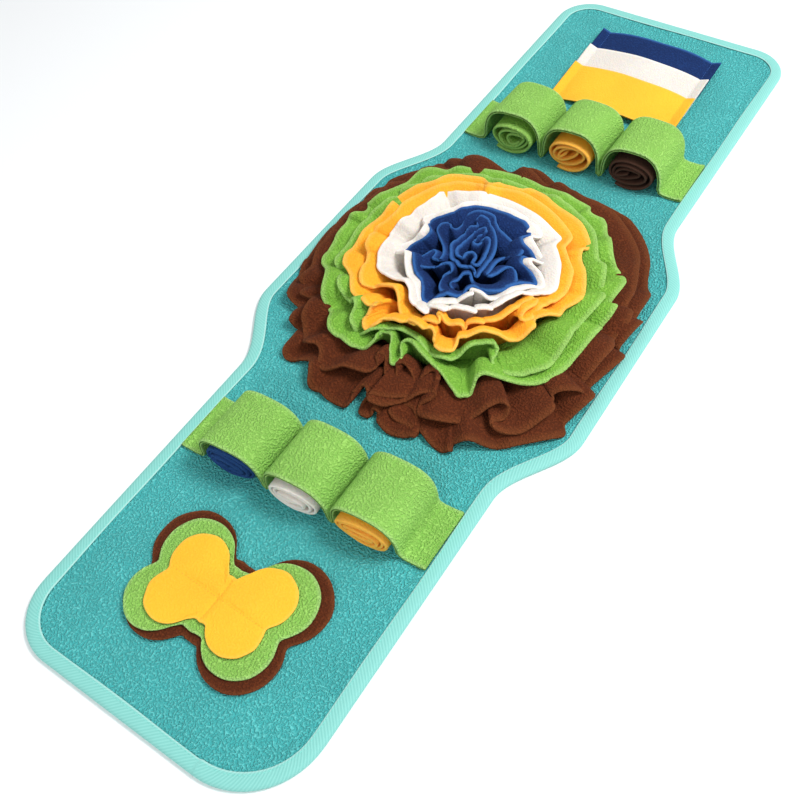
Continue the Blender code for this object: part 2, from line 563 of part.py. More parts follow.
def make_roll(roll):
    """One rolled strip as a solid: an oval winding with the step of its loose end."""
    around = 20
    stations = [-0.5, -0.46, 0.46, 0.5]
    half_height = roll.height / 2.0
    hub_z = BASE_THICK + GAP + half_height * (1.0 - 0.75 * WIND_STEP)
    points = []
    for station in stations:
        ease = 0.955 if abs(station) > 0.49 else 1.0
        for step in range(around):
            turn = 2.0 * math.pi * step / around
            side, up = math.cos(turn), math.sin(turn)
            wind = 1.0 - WIND_STEP * step / around
            x = roll.half_width * side * wind * ease
            z = half_height * up * wind * ease
            y = roll.along + station * roll.length + 0.05 * x
            points.append((roll.across + x, y, hub_z + z))
    faces = []
    for ring in range(len(stations) - 1):
        for step in range(around):
            a = ring * around + step
            b = ring * around + (step + 1) % around
            faces.append((b, a, a + around, b + around))
    front_hub = len(points)
    points.append((roll.across, roll.along - 0.5 * roll.length + 2.5, hub_z))
    points.append((roll.across, roll.along + 0.5 * roll.length - 2.5, hub_z))
    last = (len(stations) - 1) * around
    for step in range(around):
        after = (step + 1) % around
        faces.append((front_hub, step, after))
        faces.append((front_hub + 1, last + after, last + step))
    return add_mesh(roll.name, points, faces, roll.cloth)


# ---------------------------------------------------------------- butterfly
# A wing is an oval lobe that starts at the butterfly's middle and reaches out at an angle.
# The body is an oval too: half its width, then half its height.
Wing = namedtuple("Wing", "deg reach rounding")
Layer = namedtuple("Layer", "name cloth across along body_wide body_high wings")
BUTTERFLY = [
    Layer("butterfly_brown", "brown_fleece", 0.0, -346.0, 58.0, 38.0,
          [Wing(32, 86, 31), Wing(152, 83, 31), Wing(209, 70, 29), Wing(333, 74, 31)]),
    Layer("butterfly_green", "green_fleece", 0.0, -346.0, 54.0, 32.0,
          [Wing(32, 76, 27), Wing(152, 73, 27), Wing(207, 72, 25), Wing(335, 64, 26)]),
    Layer("butterfly_yellow", "yellow_fleece", 0.0, -346.0, 43.0, 21.0,
          [Wing(34, 60, 21), Wing(155, 58, 21), Wing(206, 55, 19), Wing(338, 49, 20)]),
]
BUTTERFLY_STEPS = 54
BUTTERFLY_LIFT = 1.6      # how far a layer's edge curls up


def wing_reach(wing, turn):
    """Distance from the middle to a wing's round end, fading out beside the wing."""
    off = turn - math.radians(wing.deg)
    ahead = math.cos(off)
    if ahead <= 0.0:
        return 0.0
    centre = wing.reach - wing.rounding
    side = abs(centre * math.sin(off))
    if side < wing.rounding:
        return centre * ahead + math.sqrt(wing.rounding ** 2 - side ** 2)
    return centre * ahead * math.exp(-((side - wing.rounding) / 6.0) ** 2)


def layer_reach(layer, turn):
    """Outline of one layer: its body and wings blended where they meet."""
    across = math.cos(turn) / layer.body_wide
    along = math.sin(turn) / layer.body_high
    body = 1.0 / math.sqrt(across ** 2 + along ** 2)
    total = body ** 9.0
    for wing in layer.wings:
        total += wing_reach(wing, turn) ** 9.0
    return total ** (1.0 / 9.0)


def make_layer(layer, order):
    """One flat layer of the butterfly, its edge a little raised."""
    around = BUTTERFLY_STEPS
    parts = [0.5, 1.0]
    seat = BASE_THICK + GAP + order * (MOTIF_THICK + 2.0 * GAP) + MOTIF_THICK / 2.0
    points, faces = [], []
    for side in (0.5, -0.5):
        for part in parts:
            lift = BUTTERFLY_LIFT * smooth_step((part - 0.5) / 0.5) * (0.5 + 0.2 * order)
            for step in range(around):
                turn = 2.0 * math.pi * step / around
                reach = layer_reach(layer, turn) * part
                points.append((layer.across + reach * math.cos(turn),
                               layer.along + reach * math.sin(turn),
                               seat + lift + side * MOTIF_THICK))
        points.append((layer.across, layer.along, seat + side * MOTIF_THICK))
    below = len(parts) * around + 1
    hub = len(parts) * around
    for step in range(around):
        after = (step + 1) % around
        for ring in range(len(parts) - 1):
            a, b = ring * around + step, ring * around + after
            quad = (b, a, a + around, b + around)
            faces.append(quad)
            faces.append(tuple(below + c for c in reversed(quad)))
        faces.append((hub, step, after))
        faces.append((below + hub, below + after, below + step))
        rim = (len(parts) - 1) * around
        faces.append((rim + step, below + rim + step, below + rim + after, rim + after))
    return add_mesh(layer.name, points, faces, layer.cloth)


# ---------------------------------------------------------------- striped pocket strips
# Each strip is sewn at both ends, bulges between its seams and overlaps the one behind it.
Strip = namedtuple("Strip", "name cloth near_edge far_edge near_bulge far_bulge")
STRIPS = [
    Strip("pocket_blue", "blue_fleece", 344.0, 401.0, 4.5, 5.5),
    Strip("pocket_white", "white_fleece", 310.0, 369.0, 4.5, 5.0),
    Strip("pocket_yellow", "yellow_fleece", 279.5, 335.0, 6.5, 4.5),
]
STRIP_HALF = 68.0
SEAM_AT = 59.0
STRIP_TILT = 3.9          # rise of a strip from its near edge to its far edge


def make_strip(strip):
    """One pocket strip between its two seams."""
    seat = BASE_THICK + GAP + MOTIF_THICK / 2.0
    stations = [-STRIP_HALF, -SEAM_AT - 4.0, -SEAM_AT, -SEAM_AT + 5.0, -44.0, -28.0, -10.0,
                10.0, 28.0, 44.0, SEAM_AT - 5.0, SEAM_AT, SEAM_AT + 4.0, STRIP_HALF]
    grid = []
    for x in stations:
        line = []
        for part in (0.0, 0.35, 0.7, 1.0):
            bulge = strip.near_bulge + (strip.far_bulge - strip.near_bulge) * part
            if abs(x) < SEAM_AT:
                arch = bulge * (1.0 - (abs(x) / SEAM_AT) ** 2.6)
            else:
                arch = 3.4 * (abs(x) - SEAM_AT) / (STRIP_HALF - SEAM_AT)
            y = strip.near_edge + (strip.far_edge - strip.near_edge) * part
            line.append((x, y, seat + STRIP_TILT * part + arch))
        grid.append(line)
    grid = np.array(grid)
    return sheet_body(strip.name, grid, MOTIF_THICK, strip.cloth, False)


make_base()
make_tape()
for item in RUFFLES:
    make_ruffle(item)
for item in CURLS:
    make_curl(item)
for item in STRAPS:
    make_strap(item)
for item in ROLLS:
    make_roll(item)
for place, item in enumerate(BUTTERFLY):
    make_layer(item, place)
for item in STRIPS:
    make_strip(item)
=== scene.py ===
# %% [markdown]
# # A snuffle mat in fleece
# This lesson dresses a plain solid model of a snuffle mat: a long fleece mat on which treats are
# hidden for a pet to find. The real one is cut from polar fleece, bound with twill tape and sewn
# on a machine. We start by loading the solid model, which fixes every size and place.

# %% Load the frame
import math
from collections import namedtuple

import bpy
import numpy as np
from mathutils import Matrix, Vector


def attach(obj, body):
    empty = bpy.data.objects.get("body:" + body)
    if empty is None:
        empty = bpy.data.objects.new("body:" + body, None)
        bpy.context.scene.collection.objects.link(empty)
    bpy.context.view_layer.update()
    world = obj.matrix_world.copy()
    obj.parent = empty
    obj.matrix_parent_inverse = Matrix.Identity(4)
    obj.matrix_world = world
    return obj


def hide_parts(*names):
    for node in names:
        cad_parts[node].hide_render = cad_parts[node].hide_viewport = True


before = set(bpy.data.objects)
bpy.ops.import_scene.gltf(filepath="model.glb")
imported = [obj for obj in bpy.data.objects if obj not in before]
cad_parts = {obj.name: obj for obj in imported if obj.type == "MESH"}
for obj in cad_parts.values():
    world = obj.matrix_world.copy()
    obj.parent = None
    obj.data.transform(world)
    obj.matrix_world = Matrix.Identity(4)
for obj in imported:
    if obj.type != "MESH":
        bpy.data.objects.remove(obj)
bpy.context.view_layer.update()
MM = 0.001

# %% [markdown]
# ## Colours and a node helper
# Colours are picked as sRGB hex values, the way a dye card lists them. Blender's shaders work in
# linear light, so one function turns hex into linear numbers. A second small function adds a
# shader node with its settings and its links in one line, which keeps each recipe short.


# %% Colour and node helpers
def linear(hex_colour):
    """An sRGB hex colour as the linear RGBA that a shader socket wants."""
    parts = [int(hex_colour[i:i + 2], 16) / 255.0 for i in (1, 3, 5)]
    parts = [p / 12.92 if p <= 0.04045 else ((p + 0.055) / 1.055) ** 2.4 for p in parts]
    return (parts[0], parts[1], parts[2], 1.0)


def add_node(tree, kind, settings=None, links=None):
    """A node with its settings, by socket or by attribute, and what feeds its sockets."""
    made = tree.nodes.new(kind)
    for key, value in (settings or {}).items():
        if isinstance(key, int) or key in made.inputs:
            made.inputs[key].default_value = value
        else:
            setattr(made, key, value)
    for key, source in (links or {}).items():
        tree.links.new(source, made.inputs[key])
    return made


def new_material(name):
    """An empty node material with a Principled shader wired to its output."""
    material = bpy.data.materials.new(name)
    material.use_nodes = True
    tree = material.node_tree
    tree.nodes.clear()
    shader = add_node(tree, "ShaderNodeBsdfPrincipled", {"Roughness": 0.95, "IOR": 1.46})
    add_node(tree, "ShaderNodeOutputMaterial", links={"Surface": shader.outputs["BSDF"]})
    return material, tree, shader


print("teal as linear light:", [round(c, 3) for c in linear("#5ED0CE")])

# %% [markdown]
# ## Polar fleece
# Polar fleece is knitted polyester whose loops are brushed up and sheared. The nap gathers into
# small soft tufts, 1.5 to 3 mm across. Their colour gets painted shade in the valleys between
# them and a painted highlight on their crowns, and the eye reads that as a matt, pebbled face. A
# noise bent by a coarser one makes tufts of uneven shape; a much finer noise stands for single
# fibres. It is 0.5 mm, coarser than a real fibre, so that it shows.
# Sheen lights the nap where it is seen from the side; the glossy highlight is halved, because
# brushed fibres scatter it. A cut edge is fluffier than the face; each sheet stores how near a
# point is to a cut edge, as an attribute "rim", and there its colour is made paler, a painted
# highlight. Between two plies the attribute is negative, and there the colour is made darker, a
# painted shade line in the gap between the plies.

# %% The fleece recipe
# Each cloth: face, its own colour; valley, the colour of the painted shade in the nap's valleys;
# light, the colour of the painted highlight on crowns and cut edges, also the sheen's tint; tuft
# size in mm; contrast, how strong that painted shade and highlight are; relief; sheen; glow; rim,
# how strong the painted highlight on cut edges is.
Fleece = namedtuple("Fleece", "face valley light tuft_mm contrast relief sheen glow rim")
FLEECES = {
    "teal_fleece": Fleece("#5ED0CE", "#34A4A6", "#B0EAE6", 1.8, 0.85, 2.8, 0.10, 0.0, 0.0),
    "brown_fleece": Fleece("#622C12", "#3A1A08", "#8C522B", 1.7, 0.7, 0.8, 0.02, 0.0, 0.3),
    "green_fleece": Fleece("#85BC44", "#5C962F", "#B6DC84", 1.7, 0.65, 1.0, 0.06, 0.05, 0.45),
    "lime_fleece": Fleece("#A4DD68", "#76B84B", "#CDEFA4", 1.7, 0.6, 2.4, 0.08, 0.0, 0.35),
    "orange_fleece": Fleece("#FFAC2C", "#F99426", "#FFCB70", 1.6, 0.4, 0.3, 0.08, 0.4, 0.4),
    "white_fleece": Fleece("#E1D9D0", "#D4C9BF", "#F8F2EA", 1.6, 0.4, 0.25, 0.03, 0.2, 0.6),
    "blue_fleece": Fleece("#132E62", "#0B1E42", "#3A6FB4", 1.6, 0.6, 0.45, 0.08, 0.0, 0.7),
    "dark_brown_fleece": Fleece("#3B2219", "#261711", "#6A4A3A", 1.6, 0.4, 0.4, 0.06, 0.0, 0.4),
    "yellow_fleece": Fleece("#FFBA32", "#F9AD28", "#FFD07A", 1.6, 0.3, 0.2, 0.06, 0.06, 0.15),
}
TUFT_DRIFT, NAP_DEPTH = 0.0012, 0.0015
FIBRE_SCALE, FIBRE_SHARE = 1900.0, 0.35


def nap_relief(tree, place, fleece):
    """Height of the nap, from tufts and single fibres, and the bent normal that it gives."""
    drift = add_node(tree, "ShaderNodeTexNoise", {"Scale": 160.0, "Detail": 1.0}, {"Vector": place})
    bent = add_node(tree, "ShaderNodeVectorMath",
                    {"operation": "MULTIPLY_ADD", 1: (TUFT_DRIFT, TUFT_DRIFT, TUFT_DRIFT)},
                    {0: drift.outputs["Color"], 2: place})
    tuft = add_node(tree, "ShaderNodeTexNoise",
                    {"Scale": 1000.0 / fleece.tuft_mm, "Detail": 1.5, "Roughness": 0.55},
                    {"Vector": bent.outputs["Vector"]})
    hump = add_node(tree, "ShaderNodeMapRange",
                    {"interpolation_type": "SMOOTHSTEP", "From Min": 0.32, "From Max": 0.68},
                    {"Value": tuft.outputs["Fac"]})
    fibre = add_node(tree, "ShaderNodeTexNoise", {"Scale": FIBRE_SCALE, "Detail": 2.0},
                     {"Vector": place})
    rise = add_node(tree, "ShaderNodeMath", {"operation": "MULTIPLY_ADD", 1: FIBRE_SHARE},
                    {0: fibre.outputs["Fac"], 2: hump.outputs["Result"]}).outputs["Value"]
    bump = add_node(tree, "ShaderNodeBump",
                    {"Strength": 0.75, "Distance": NAP_DEPTH * fleece.relief}, {"Height": rise})
    return rise, bump.outputs["Normal"]


def nap_shade_and_highlight(tree, rise, fleece):
    """Painted shade in the nap's valleys and a painted highlight on its crowns."""
    # painted shade: where the nap is low, the colour darkens from face towards valley
    depth = add_node(tree, "ShaderNodeMapRange",
                     {"From Min": 0.1, "From Max": 1.2, "To Min": 1.0 - fleece.contrast * 0.8},
                     {"Value": rise})
    tone = add_node(tree, "ShaderNodeMix", {"data_type": "RGBA", 6: linear(fleece.valley),
                                            7: linear(fleece.face)}, {0: depth.outputs["Result"]})
    # painted highlight: where the nap is highest, the colour is mixed towards the light colour
    crown = add_node(tree, "ShaderNodeMapRange",
                     {"From Min": 0.95, "From Max": 1.25, "To Max": 0.16 * fleece.contrast},
                     {"Value": rise})
    lit = add_node(tree, "ShaderNodeMix", {"data_type": "RGBA", 7: linear(fleece.light)},
                   {0: crown.outputs["Result"], 6: tone.outputs[2]})
    return lit.outputs[2]


def dye_and_edge_light(tree, place, nap, fleece):
    """The nap's colour with slightly uneven dye, a painted highlight on cut edges and painted shade
    between plies.
    """
    patch = add_node(tree, "ShaderNodeTexNoise", {"Scale": 22.0, "Detail": 3.0}, {"Vector": place})
    shift = add_node(tree, "ShaderNodeMapRange",
                     {"From Min": 0.3, "From Max": 0.7, "To Min": 0.94, "To Max": 1.06},
                     {"Value": patch.outputs["Fac"]})
    rim = add_node(tree, "ShaderNodeAttribute", {"attribute_name": "rim"}).outputs["Fac"]
    # painted shade: where the rim attribute is negative, between two plies, the colour is darkened
    ply_gap_shade = add_node(tree, "ShaderNodeMapRange",
                       {"From Min": -1.0, "From Max": 0.0, "To Min": 0.35}, {"Value": rim})
    value = add_node(tree, "ShaderNodeMath", {"operation": "MULTIPLY"},
                     {0: shift.outputs["Result"], 1: ply_gap_shade.outputs["Result"]})
    colour = add_node(tree, "ShaderNodeHueSaturation",
                      links={"Color": nap, "Value": value.outputs["Value"]})
    # painted highlight: near cut edges the colour is mixed towards the light colour
    share = add_node(tree, "ShaderNodeMath", {"operation": "MULTIPLY", 1: fleece.rim}, {0: rim})
    edged = add_node(tree, "ShaderNodeMix", {"data_type": "RGBA", 7: linear(fleece.light)},
                     {0: share.outputs["Value"], 6: colour.outputs["Color"]})
    return edged.outputs[2]


def make_fleece(name, fleece):
    """Brushed polyester fleece: soft tufts, fine fibres, a sheen on the nap."""
    material, tree, shader = new_material(name)
    place = add_node(tree, "ShaderNodeTexCoord").outputs["Object"]
    rise, normal = nap_relief(tree, place, fleece)
    colour = dye_and_edge_light(tree, place, nap_shade_and_highlight(tree, rise, fleece), fleece)
    tree.links.new(colour, shader.inputs["Base Color"])
    tree.links.new(normal, shader.inputs["Normal"])
    shader.inputs["Specular IOR Level"].default_value = 0.25
    shader.inputs["Sheen Weight"].default_value = fleece.sheen
    shader.inputs["Sheen Roughness"].default_value = 0.4
    shader.inputs["Sheen Tint"].default_value = linear(fleece.light)
    if fleece.glow > 0.0:
        shader.inputs["Subsurface Weight"].default_value = fleece.glow
        shader.inputs["Subsurface Radius"].default_value = (1.0, 0.45, 0.2)
        shader.inputs["Subsurface Scale"].default_value = 0.004
    return material


CLOTH = {name: make_fleece(name, fleece) for name, fleece in FLEECES.items()}
print("fleeces:", ", ".join(CLOTH))

# %% [markdown]
# ## Twill binding tape
# The edge is bound with a woven polyester twill tape, 25 mm wide and folded in half. Twill shows
# fine diagonal ribs. They are really about 1 mm apart; we draw them 2.2 mm apart so that they
# show. The ribs must turn with the tape round the corners, so they follow a UV map that holds
# millimetres along and across the tape. The same map places the selvedge, a brighter woven line
# along the tape's edge. Sewing thread is plain spun polyester.


# %% The tape and thread recipes
def make_twill(name, face, groove, light):
    """Woven twill tape: slanting ribs, fine weft threads and a bright selvedge."""
    material, tree, shader = new_material(name)
    along = add_node(tree, "ShaderNodeUVMap", {"uv_map": "tape_mm"}).outputs["UV"]
    ribs = add_node(tree, "ShaderNodeTexWave", {"wave_type": "BANDS", "bands_direction": "DIAGONAL",
                                                "Scale": 0.20, "Distortion": 0.35, "Detail": 1.0},
                    {"Vector": along})
    weft = add_node(tree, "ShaderNodeTexNoise", {"Scale": 2.2, "Detail": 2.0}, {"Vector": along})
    rise = add_node(tree, "ShaderNodeMath", {"operation": "MULTIPLY_ADD", 1: 0.35},
                    {0: weft.outputs["Fac"], 2: ribs.outputs["Fac"]})
    bump = add_node(tree, "ShaderNodeBump", {"Strength": 0.35, "Distance": 0.0005},
                    {"Height": rise.outputs["Value"]})
    tone = add_node(tree, "ShaderNodeMix", {"data_type": "RGBA", 6: linear(groove),
                                            7: linear(face)}, {0: ribs.outputs["Fac"]})
    across = add_node(tree, "ShaderNodeSeparateXYZ", links={"Vector": along}).outputs["Y"]
    selvedge = add_node(tree, "ShaderNodeMapRange",
                        {"From Min": 0.6, "From Max": 1.8, "To Min": 0.55, "To Max": 0.0},
                        {"Value": across})
    edged = add_node(tree, "ShaderNodeMix", {"data_type": "RGBA", 7: linear(light)},
                     {0: selvedge.outputs["Result"], 6: tone.outputs[2]})
    tree.links.new(edged.outputs[2], shader.inputs["Base Color"])
    tree.links.new(bump.outputs["Normal"], shader.inputs["Normal"])
    shader.inputs["Roughness"].default_value = 0.72
    shader.inputs["Sheen Weight"].default_value = 0.2
    shader.inputs["Sheen Tint"].default_value = linear(light)
    return material


def make_thread(name, colour):
    """Spun polyester sewing thread: a soft twist and a slight gloss."""
    material, tree, shader = new_material(name)
    place = add_node(tree, "ShaderNodeTexCoord").outputs["Object"]
    twist = add_node(tree, "ShaderNodeTexNoise", {"Scale": 2500.0, "Detail": 1.0},
                     {"Vector": place})
    value = add_node(tree, "ShaderNodeMapRange", {"To Min": 0.8, "To Max": 1.15},
                     {"Value": twist.outputs["Fac"]})
    tone = add_node(tree, "ShaderNodeHueSaturation", {"Color": linear(colour)},
                    {"Value": value.outputs["Result"]})
    tree.links.new(tone.outputs["Color"], shader.inputs["Base Color"])
    shader.inputs["Roughness"].default_value = 0.6
    return material


TWILL = make_twill("aqua_twill_tape", "#8ACFC6", "#7CC4BB", "#C4EAE3")
THREAD = {
    "aqua": make_thread("aqua_thread", "#8ADDD2"),
    "gold": make_thread("gold_thread", "#E9A92C"),
    "lime": make_thread("lime_thread", "#6DB53F"),
    "blue": make_thread("blue_thread", "#2B5CA3"),
    "white": make_thread("white_thread", "#E9E4DC"),
}
print("tape and threads ready:", len(THREAD) + 1)

# %% [markdown]
# ## Turning sheets into cloth
# Each cut piece is a grid of points down the middle of the cloth. One shared function turns points
# and faces into a mesh, gives it its material and ties it to the solid model. Two more find which
# way a grid runs at each point, so that we know where its thickness goes.


# %% Pieces and directions
def add_object(name, data):
    """An object in the scene."""
    made = bpy.data.objects.new(name, data)
    bpy.context.scene.collection.objects.link(made)
    return made


def add_piece(name, points_mm, faces, material, nodes=(), uv=None, rim=None):
    """One cloth piece from points in millimetres, standing for nodes of the solid model."""
    mesh = bpy.data.meshes.new(name)
    mesh.from_pydata((np.asarray(points_mm, float) * MM).tolist(), [], faces)
    if rim is not None:
        weights = mesh.attributes.new("rim", "FLOAT", "POINT")
        weights.data.foreach_set("value", np.asarray(rim, float))
    if uv is not None:
        layer = mesh.uv_layers.new(name="tape_mm")
        corners = np.zeros(len(mesh.loops), dtype=np.int32)
        mesh.loops.foreach_get("vertex_index", corners)
        layer.data.foreach_set("uv", np.asarray(uv, float)[corners].ravel())
    mesh.validate()
    mesh.polygons.foreach_set("use_smooth", [True] * len(mesh.polygons))
    mesh.materials.append(material)
    piece = add_object(name, mesh)
    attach(piece, "root")
    if nodes:
        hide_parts(*nodes)
    return piece


def unit(vectors):
    """Vectors of length one."""
    return vectors / np.maximum(np.linalg.norm(vectors, axis=-1, keepdims=True), 1e-9)


def grid_axes(grid, closed):
    """Unit directions along and across a grid of points, and its normals."""
    if closed:
        along = np.roll(grid, -1, axis=0) - np.roll(grid, 1, axis=0)
    else:
        along = np.gradient(grid, axis=0)
    across = np.gradient(grid, axis=1)
    return unit(along), unit(across), unit(np.cross(along, across))


print("a vector of 3 and 4, made one long:", unit(np.array([3.0, 4.0])))

# %% [markdown]
# To give a sheet thickness we walk round its section: out along the upper face, round the free edge
# in a half circle, back along the lower face and round the other edge. A round edge catches light
# the way a thick nap does, where Solidify would leave a knife-cut rim. A doubled strip gets two
# half circles, one for each ply, with a groove between them that also gets a painted shade line.

# %% Rounded edges
RIM_REACH = 1.3


def rim_profile(plies, rim_points):
    """Offsets round a cut edge, outward and upward, as shares of half the thickness."""
    turns = np.linspace(math.pi / 2.0, -math.pi / 2.0, rim_points + 2)
    lobe = [(math.cos(a), math.sin(a)) for a in turns]
    if plies == 1:
        return lobe[1:-1]
    upper = [(0.5 * x, 0.5 + 0.5 * z) for x, z in lobe[1:]]
    lower = [(0.5 * x, -0.5 + 0.5 * z) for x, z in lobe[1:-1]]
    return upper + lower


def cloth_section(grid, thickness, closed, rim):
    """Points round each cross-section of a sheet with rounded edges."""
    _, across, normals = grid_axes(grid, closed)
    half = thickness / 2.0
    upper, lower = grid + normals * half, grid - normals * half
    free = [grid[:, -1] + across[:, -1] * half * x + normals[:, -1] * half * z for x, z in rim]
    sewn = [grid[:, 0] - across[:, 0] * half * x - normals[:, 0] * half * z for x, z in rim]
    return np.concatenate([upper, np.stack(free, axis=1), lower[:, ::-1], np.stack(sewn, axis=1)],
                          axis=1)


def rim_weights(grid, closed, rim_count, plies):
    """How near each point is to a cut edge: 1 there, almost 0 from 3 mm on, -1 between plies."""
    steps = np.linalg.norm(np.diff(grid, axis=1), axis=2)
    start = np.zeros((len(grid), 1))
    to_free = np.concatenate([np.cumsum(steps[:, ::-1], axis=1)[:, ::-1], start], axis=1)
    near = np.exp(-(to_free / RIM_REACH) ** 2)
    sewn, free = np.zeros((len(grid), rim_count)), np.ones((len(grid), rim_count))
    # -1 marks the gap between two plies, where a line of painted shade goes
    if plies == 2:
        free[:, rim_count // 2 - 2:rim_count // 2 + 3] = -1.0
    if not closed:
        to_other = np.concatenate([start, np.cumsum(steps, axis=1)], axis=1)
        near = np.maximum(near, np.exp(-(to_other / RIM_REACH) ** 2))
        sewn = free.copy()
    return np.concatenate([near, free, near[:, ::-1], sewn], axis=1).ravel()


print("points round a plain and a doubled edge:", len(rim_profile(1, 5)), len(rim_profile(2, 5)))

# %% [markdown]
# The sections are joined by quads, one row after another. A strip that closes on itself is done
# with that; an open one also needs its two ends closed. Then a whole sheet takes a single call.


# %% Faces and sheets
def tube_faces(rows, around, closed):
    """Quads between closed sections, one after another."""
    faces = []
    spans = rows if closed else rows - 1
    for row in range(spans):
        start, after = row * around, ((row + 1) % rows) * around
        for k in range(around):
            m = (k + 1) % around
            faces.append((start + k, after + k, after + m, start + m))
    return faces


def cap_faces(grid_columns, rim_points, first, flip):
    """Quads that close one end of a sheet, between its upper and lower faces."""
    around = 2 * grid_columns + 2 * rim_points
    faces = []
    for column in range(grid_columns - 1):
        other = 2 * grid_columns + rim_points - 1 - column
        quad = (first + column, first + column + 1, first + other - 1, first + other)
        faces.append(quad[::-1] if flip else quad)
    rim = [first + grid_columns - 1 + k for k in range(rim_points + 2)]
    faces.append(tuple(rim[::-1]) if flip else tuple(rim))
    rim = [first + (2 * grid_columns + rim_points - 1 + k) % around for k in range(rim_points + 2)]
    faces.append(tuple(rim[::-1]) if flip else tuple(rim))
    return faces


def cloth_piece(name, grid, thickness, material, nodes=(), closed=False, rim_points=5, plies=1,
                edge_light_share=1.0):
    """A sheet of cloth from its grid of middle points; the last argument scales the painted
    highlight on its cut edges and the painted shade between its plies.
    """
    rim = rim_profile(plies, rim_points)
    section = cloth_section(grid, thickness, closed, rim)
    rows, around = section.shape[0], section.shape[1]
    faces = tube_faces(rows, around, closed)
    if not closed:
        faces += cap_faces(grid.shape[1], len(rim), 0, False)
        faces += cap_faces(grid.shape[1], len(rim), (rows - 1) * around, True)
    return add_piece(name, section.reshape(-1, 3), faces, material, nodes,
                     rim=edge_light_share * rim_weights(grid, closed, len(rim), plies))


print("faces between 4 closed sections of 12 points:", len(tube_faces(4, 12, True)))

# %% [markdown]
# ## Curves and steps
# Listed bends are joined by a Catmull-Rom curve, which goes through every row of its table.
# Small wrinkles come from sums of a few sine waves with seeded phases, so that each run of the
# script makes the same cloth.


# %% Curve helpers
def table(kind, rows):
    """Rows of values as named tuples of one kind."""
    return [kind(*row) for row in rows]


def smooth_step(value):
    """Ease from 0 to 1."""
    value = np.clip(value, 0.0, 1.0)
    return value * value * (3.0 - 2.0 * value)


def closed_spline(rows, per_row):
    """Catmull-Rom curve through closed rows of numbers."""
    rows = np.asarray(rows, float)
    before, end, after = (np.roll(rows, step, axis=0) for step in (1, -1, -2))
    t = (np.arange(per_row) / per_row)[None, :, None]
    p, a, b, c = before[:, None], rows[:, None], end[:, None], after[:, None]
    curve = 0.5 * (2.0 * a + (b - p) * t + (2.0 * p - 5.0 * a + 4.0 * b - c) * t ** 2
                   + (3.0 * a - p - 3.0 * b + c) * t ** 3)
    return curve.reshape(-1, rows.shape[1])


def even_steps(path, count, closed):
    """The same path again with evenly spaced points."""
    path = np.asarray(path, float)
    full = np.concatenate([path, path[:1]]) if closed else path
    run = np.concatenate([[0.0], np.cumsum(np.linalg.norm(np.diff(full, axis=0), axis=1))])
    at = np.linspace(0.0, run[-1], count, endpoint=not closed)
    return np.stack([np.interp(at, run, full[:, k]) for k in range(full.shape[1])], axis=1)


def wrinkle(seed, place, spans, periods):
    """A smooth random wave, about -1 to 1 high, that closes on itself from 0 to 1."""
    chance = np.random.RandomState(seed)
    total = np.zeros_like(place)
    for _ in range(spans):
        count = chance.randint(periods[0], periods[1])
        size = chance.uniform(0.5, 1.0)
        total += size * np.sin(2.0 * math.pi * (count * place + chance.uniform()))
    return total / (0.9 * spans ** 0.5 + 0.3)


print("a closed curve of", len(closed_spline([(0, 0), (1, 0), (1, 1)], 4)), "points")

# %% [markdown]
# ## The mat
# The mat is one fleece-faced sheet, 256 mm wide at its ends and 326 mm at the rosette. Its outline
# is worked out from a few widths and corner radii, the same sizes that the solid model has. The
# face isn't dead flat: the tape draws it up a little at the rim and it dips by fractions of a
# millimetre in between, which is what makes light travel over it unevenly.

# %% The mat's outline
MAT_LENGTH = 899.0
END_HALF_WIDTH, MIDDLE_HALF_WIDTH = 128.0, 163.0
WIDE_TO, NARROW_FROM = 86.0, 166.0
FAR_RADIUS, NEAR_LEFT_RADIUS, NEAR_RIGHT_RADIUS = 38.0, 46.0, 64.0
BASE_THICK, TAPE_THICK, TAPE_COVER, TAPE_GAP = 3.0, 1.0, 11.5, 0.3
RIM_FROM, RIM_RAMP = 0.7, 6.0
GAP = 0.35
CORNER_POINTS, OUTLINE_POINTS = 14, 960


def half_width(along):
    """Half of the mat's width at a distance along it."""
    ease = smooth_step((NARROW_FROM - abs(along)) / (NARROW_FROM - WIDE_TO))
    return END_HALF_WIDTH + (MIDDLE_HALF_WIDTH - END_HALF_WIDTH) * ease


def long_side(near_radius):
    """One long side from the near end to the far end, with its two corners."""
    turns = np.linspace(0, math.pi / 2, CORNER_POINTS)
    near = [(END_HALF_WIDTH - near_radius * (1.0 - math.sin(a)),
             -MAT_LENGTH / 2.0 + near_radius * (1.0 - math.cos(a))) for a in turns]
    far = [(END_HALF_WIDTH - FAR_RADIUS * (1.0 - math.sin(a)),
            MAT_LENGTH / 2.0 - FAR_RADIUS * (1.0 - math.cos(a))) for a in turns]
    run = [(half_width(y), y) for y in np.linspace(-380.0, 400.0, 261)]
    return near + run + far[::-1]


right, left = long_side(NEAR_RIGHT_RADIUS), long_side(NEAR_LEFT_RADIUS)
OUTLINE = even_steps(right + [(-x, y) for x, y in reversed(left)], OUTLINE_POINTS, True)
ahead = unit(np.roll(OUTLINE, -1, axis=0) - np.roll(OUTLINE, 1, axis=0))
OUTWARD = np.stack([ahead[:, 1], -ahead[:, 0]], axis=1)
PERIMETER = np.linalg.norm(np.roll(OUTLINE, -1, axis=0) - OUTLINE, axis=1).sum()
print(f"edge to bind: {PERIMETER:.0f} mm")

# %% [markdown]
# The face is a grid laid across the outline, row by row. Near the rim it climbs into the fold of
# the tape. Small puckers run in from the stitching, because a machine gathers the edge slightly.


# %% Heights of the fleece face
MAT_CLOTH, MAT_MIDDLE = 2.5, 1.3
FACE_SINK, DIP, PUCKER = 0.22, 0.11, 0.35
AT_ONCE = 160


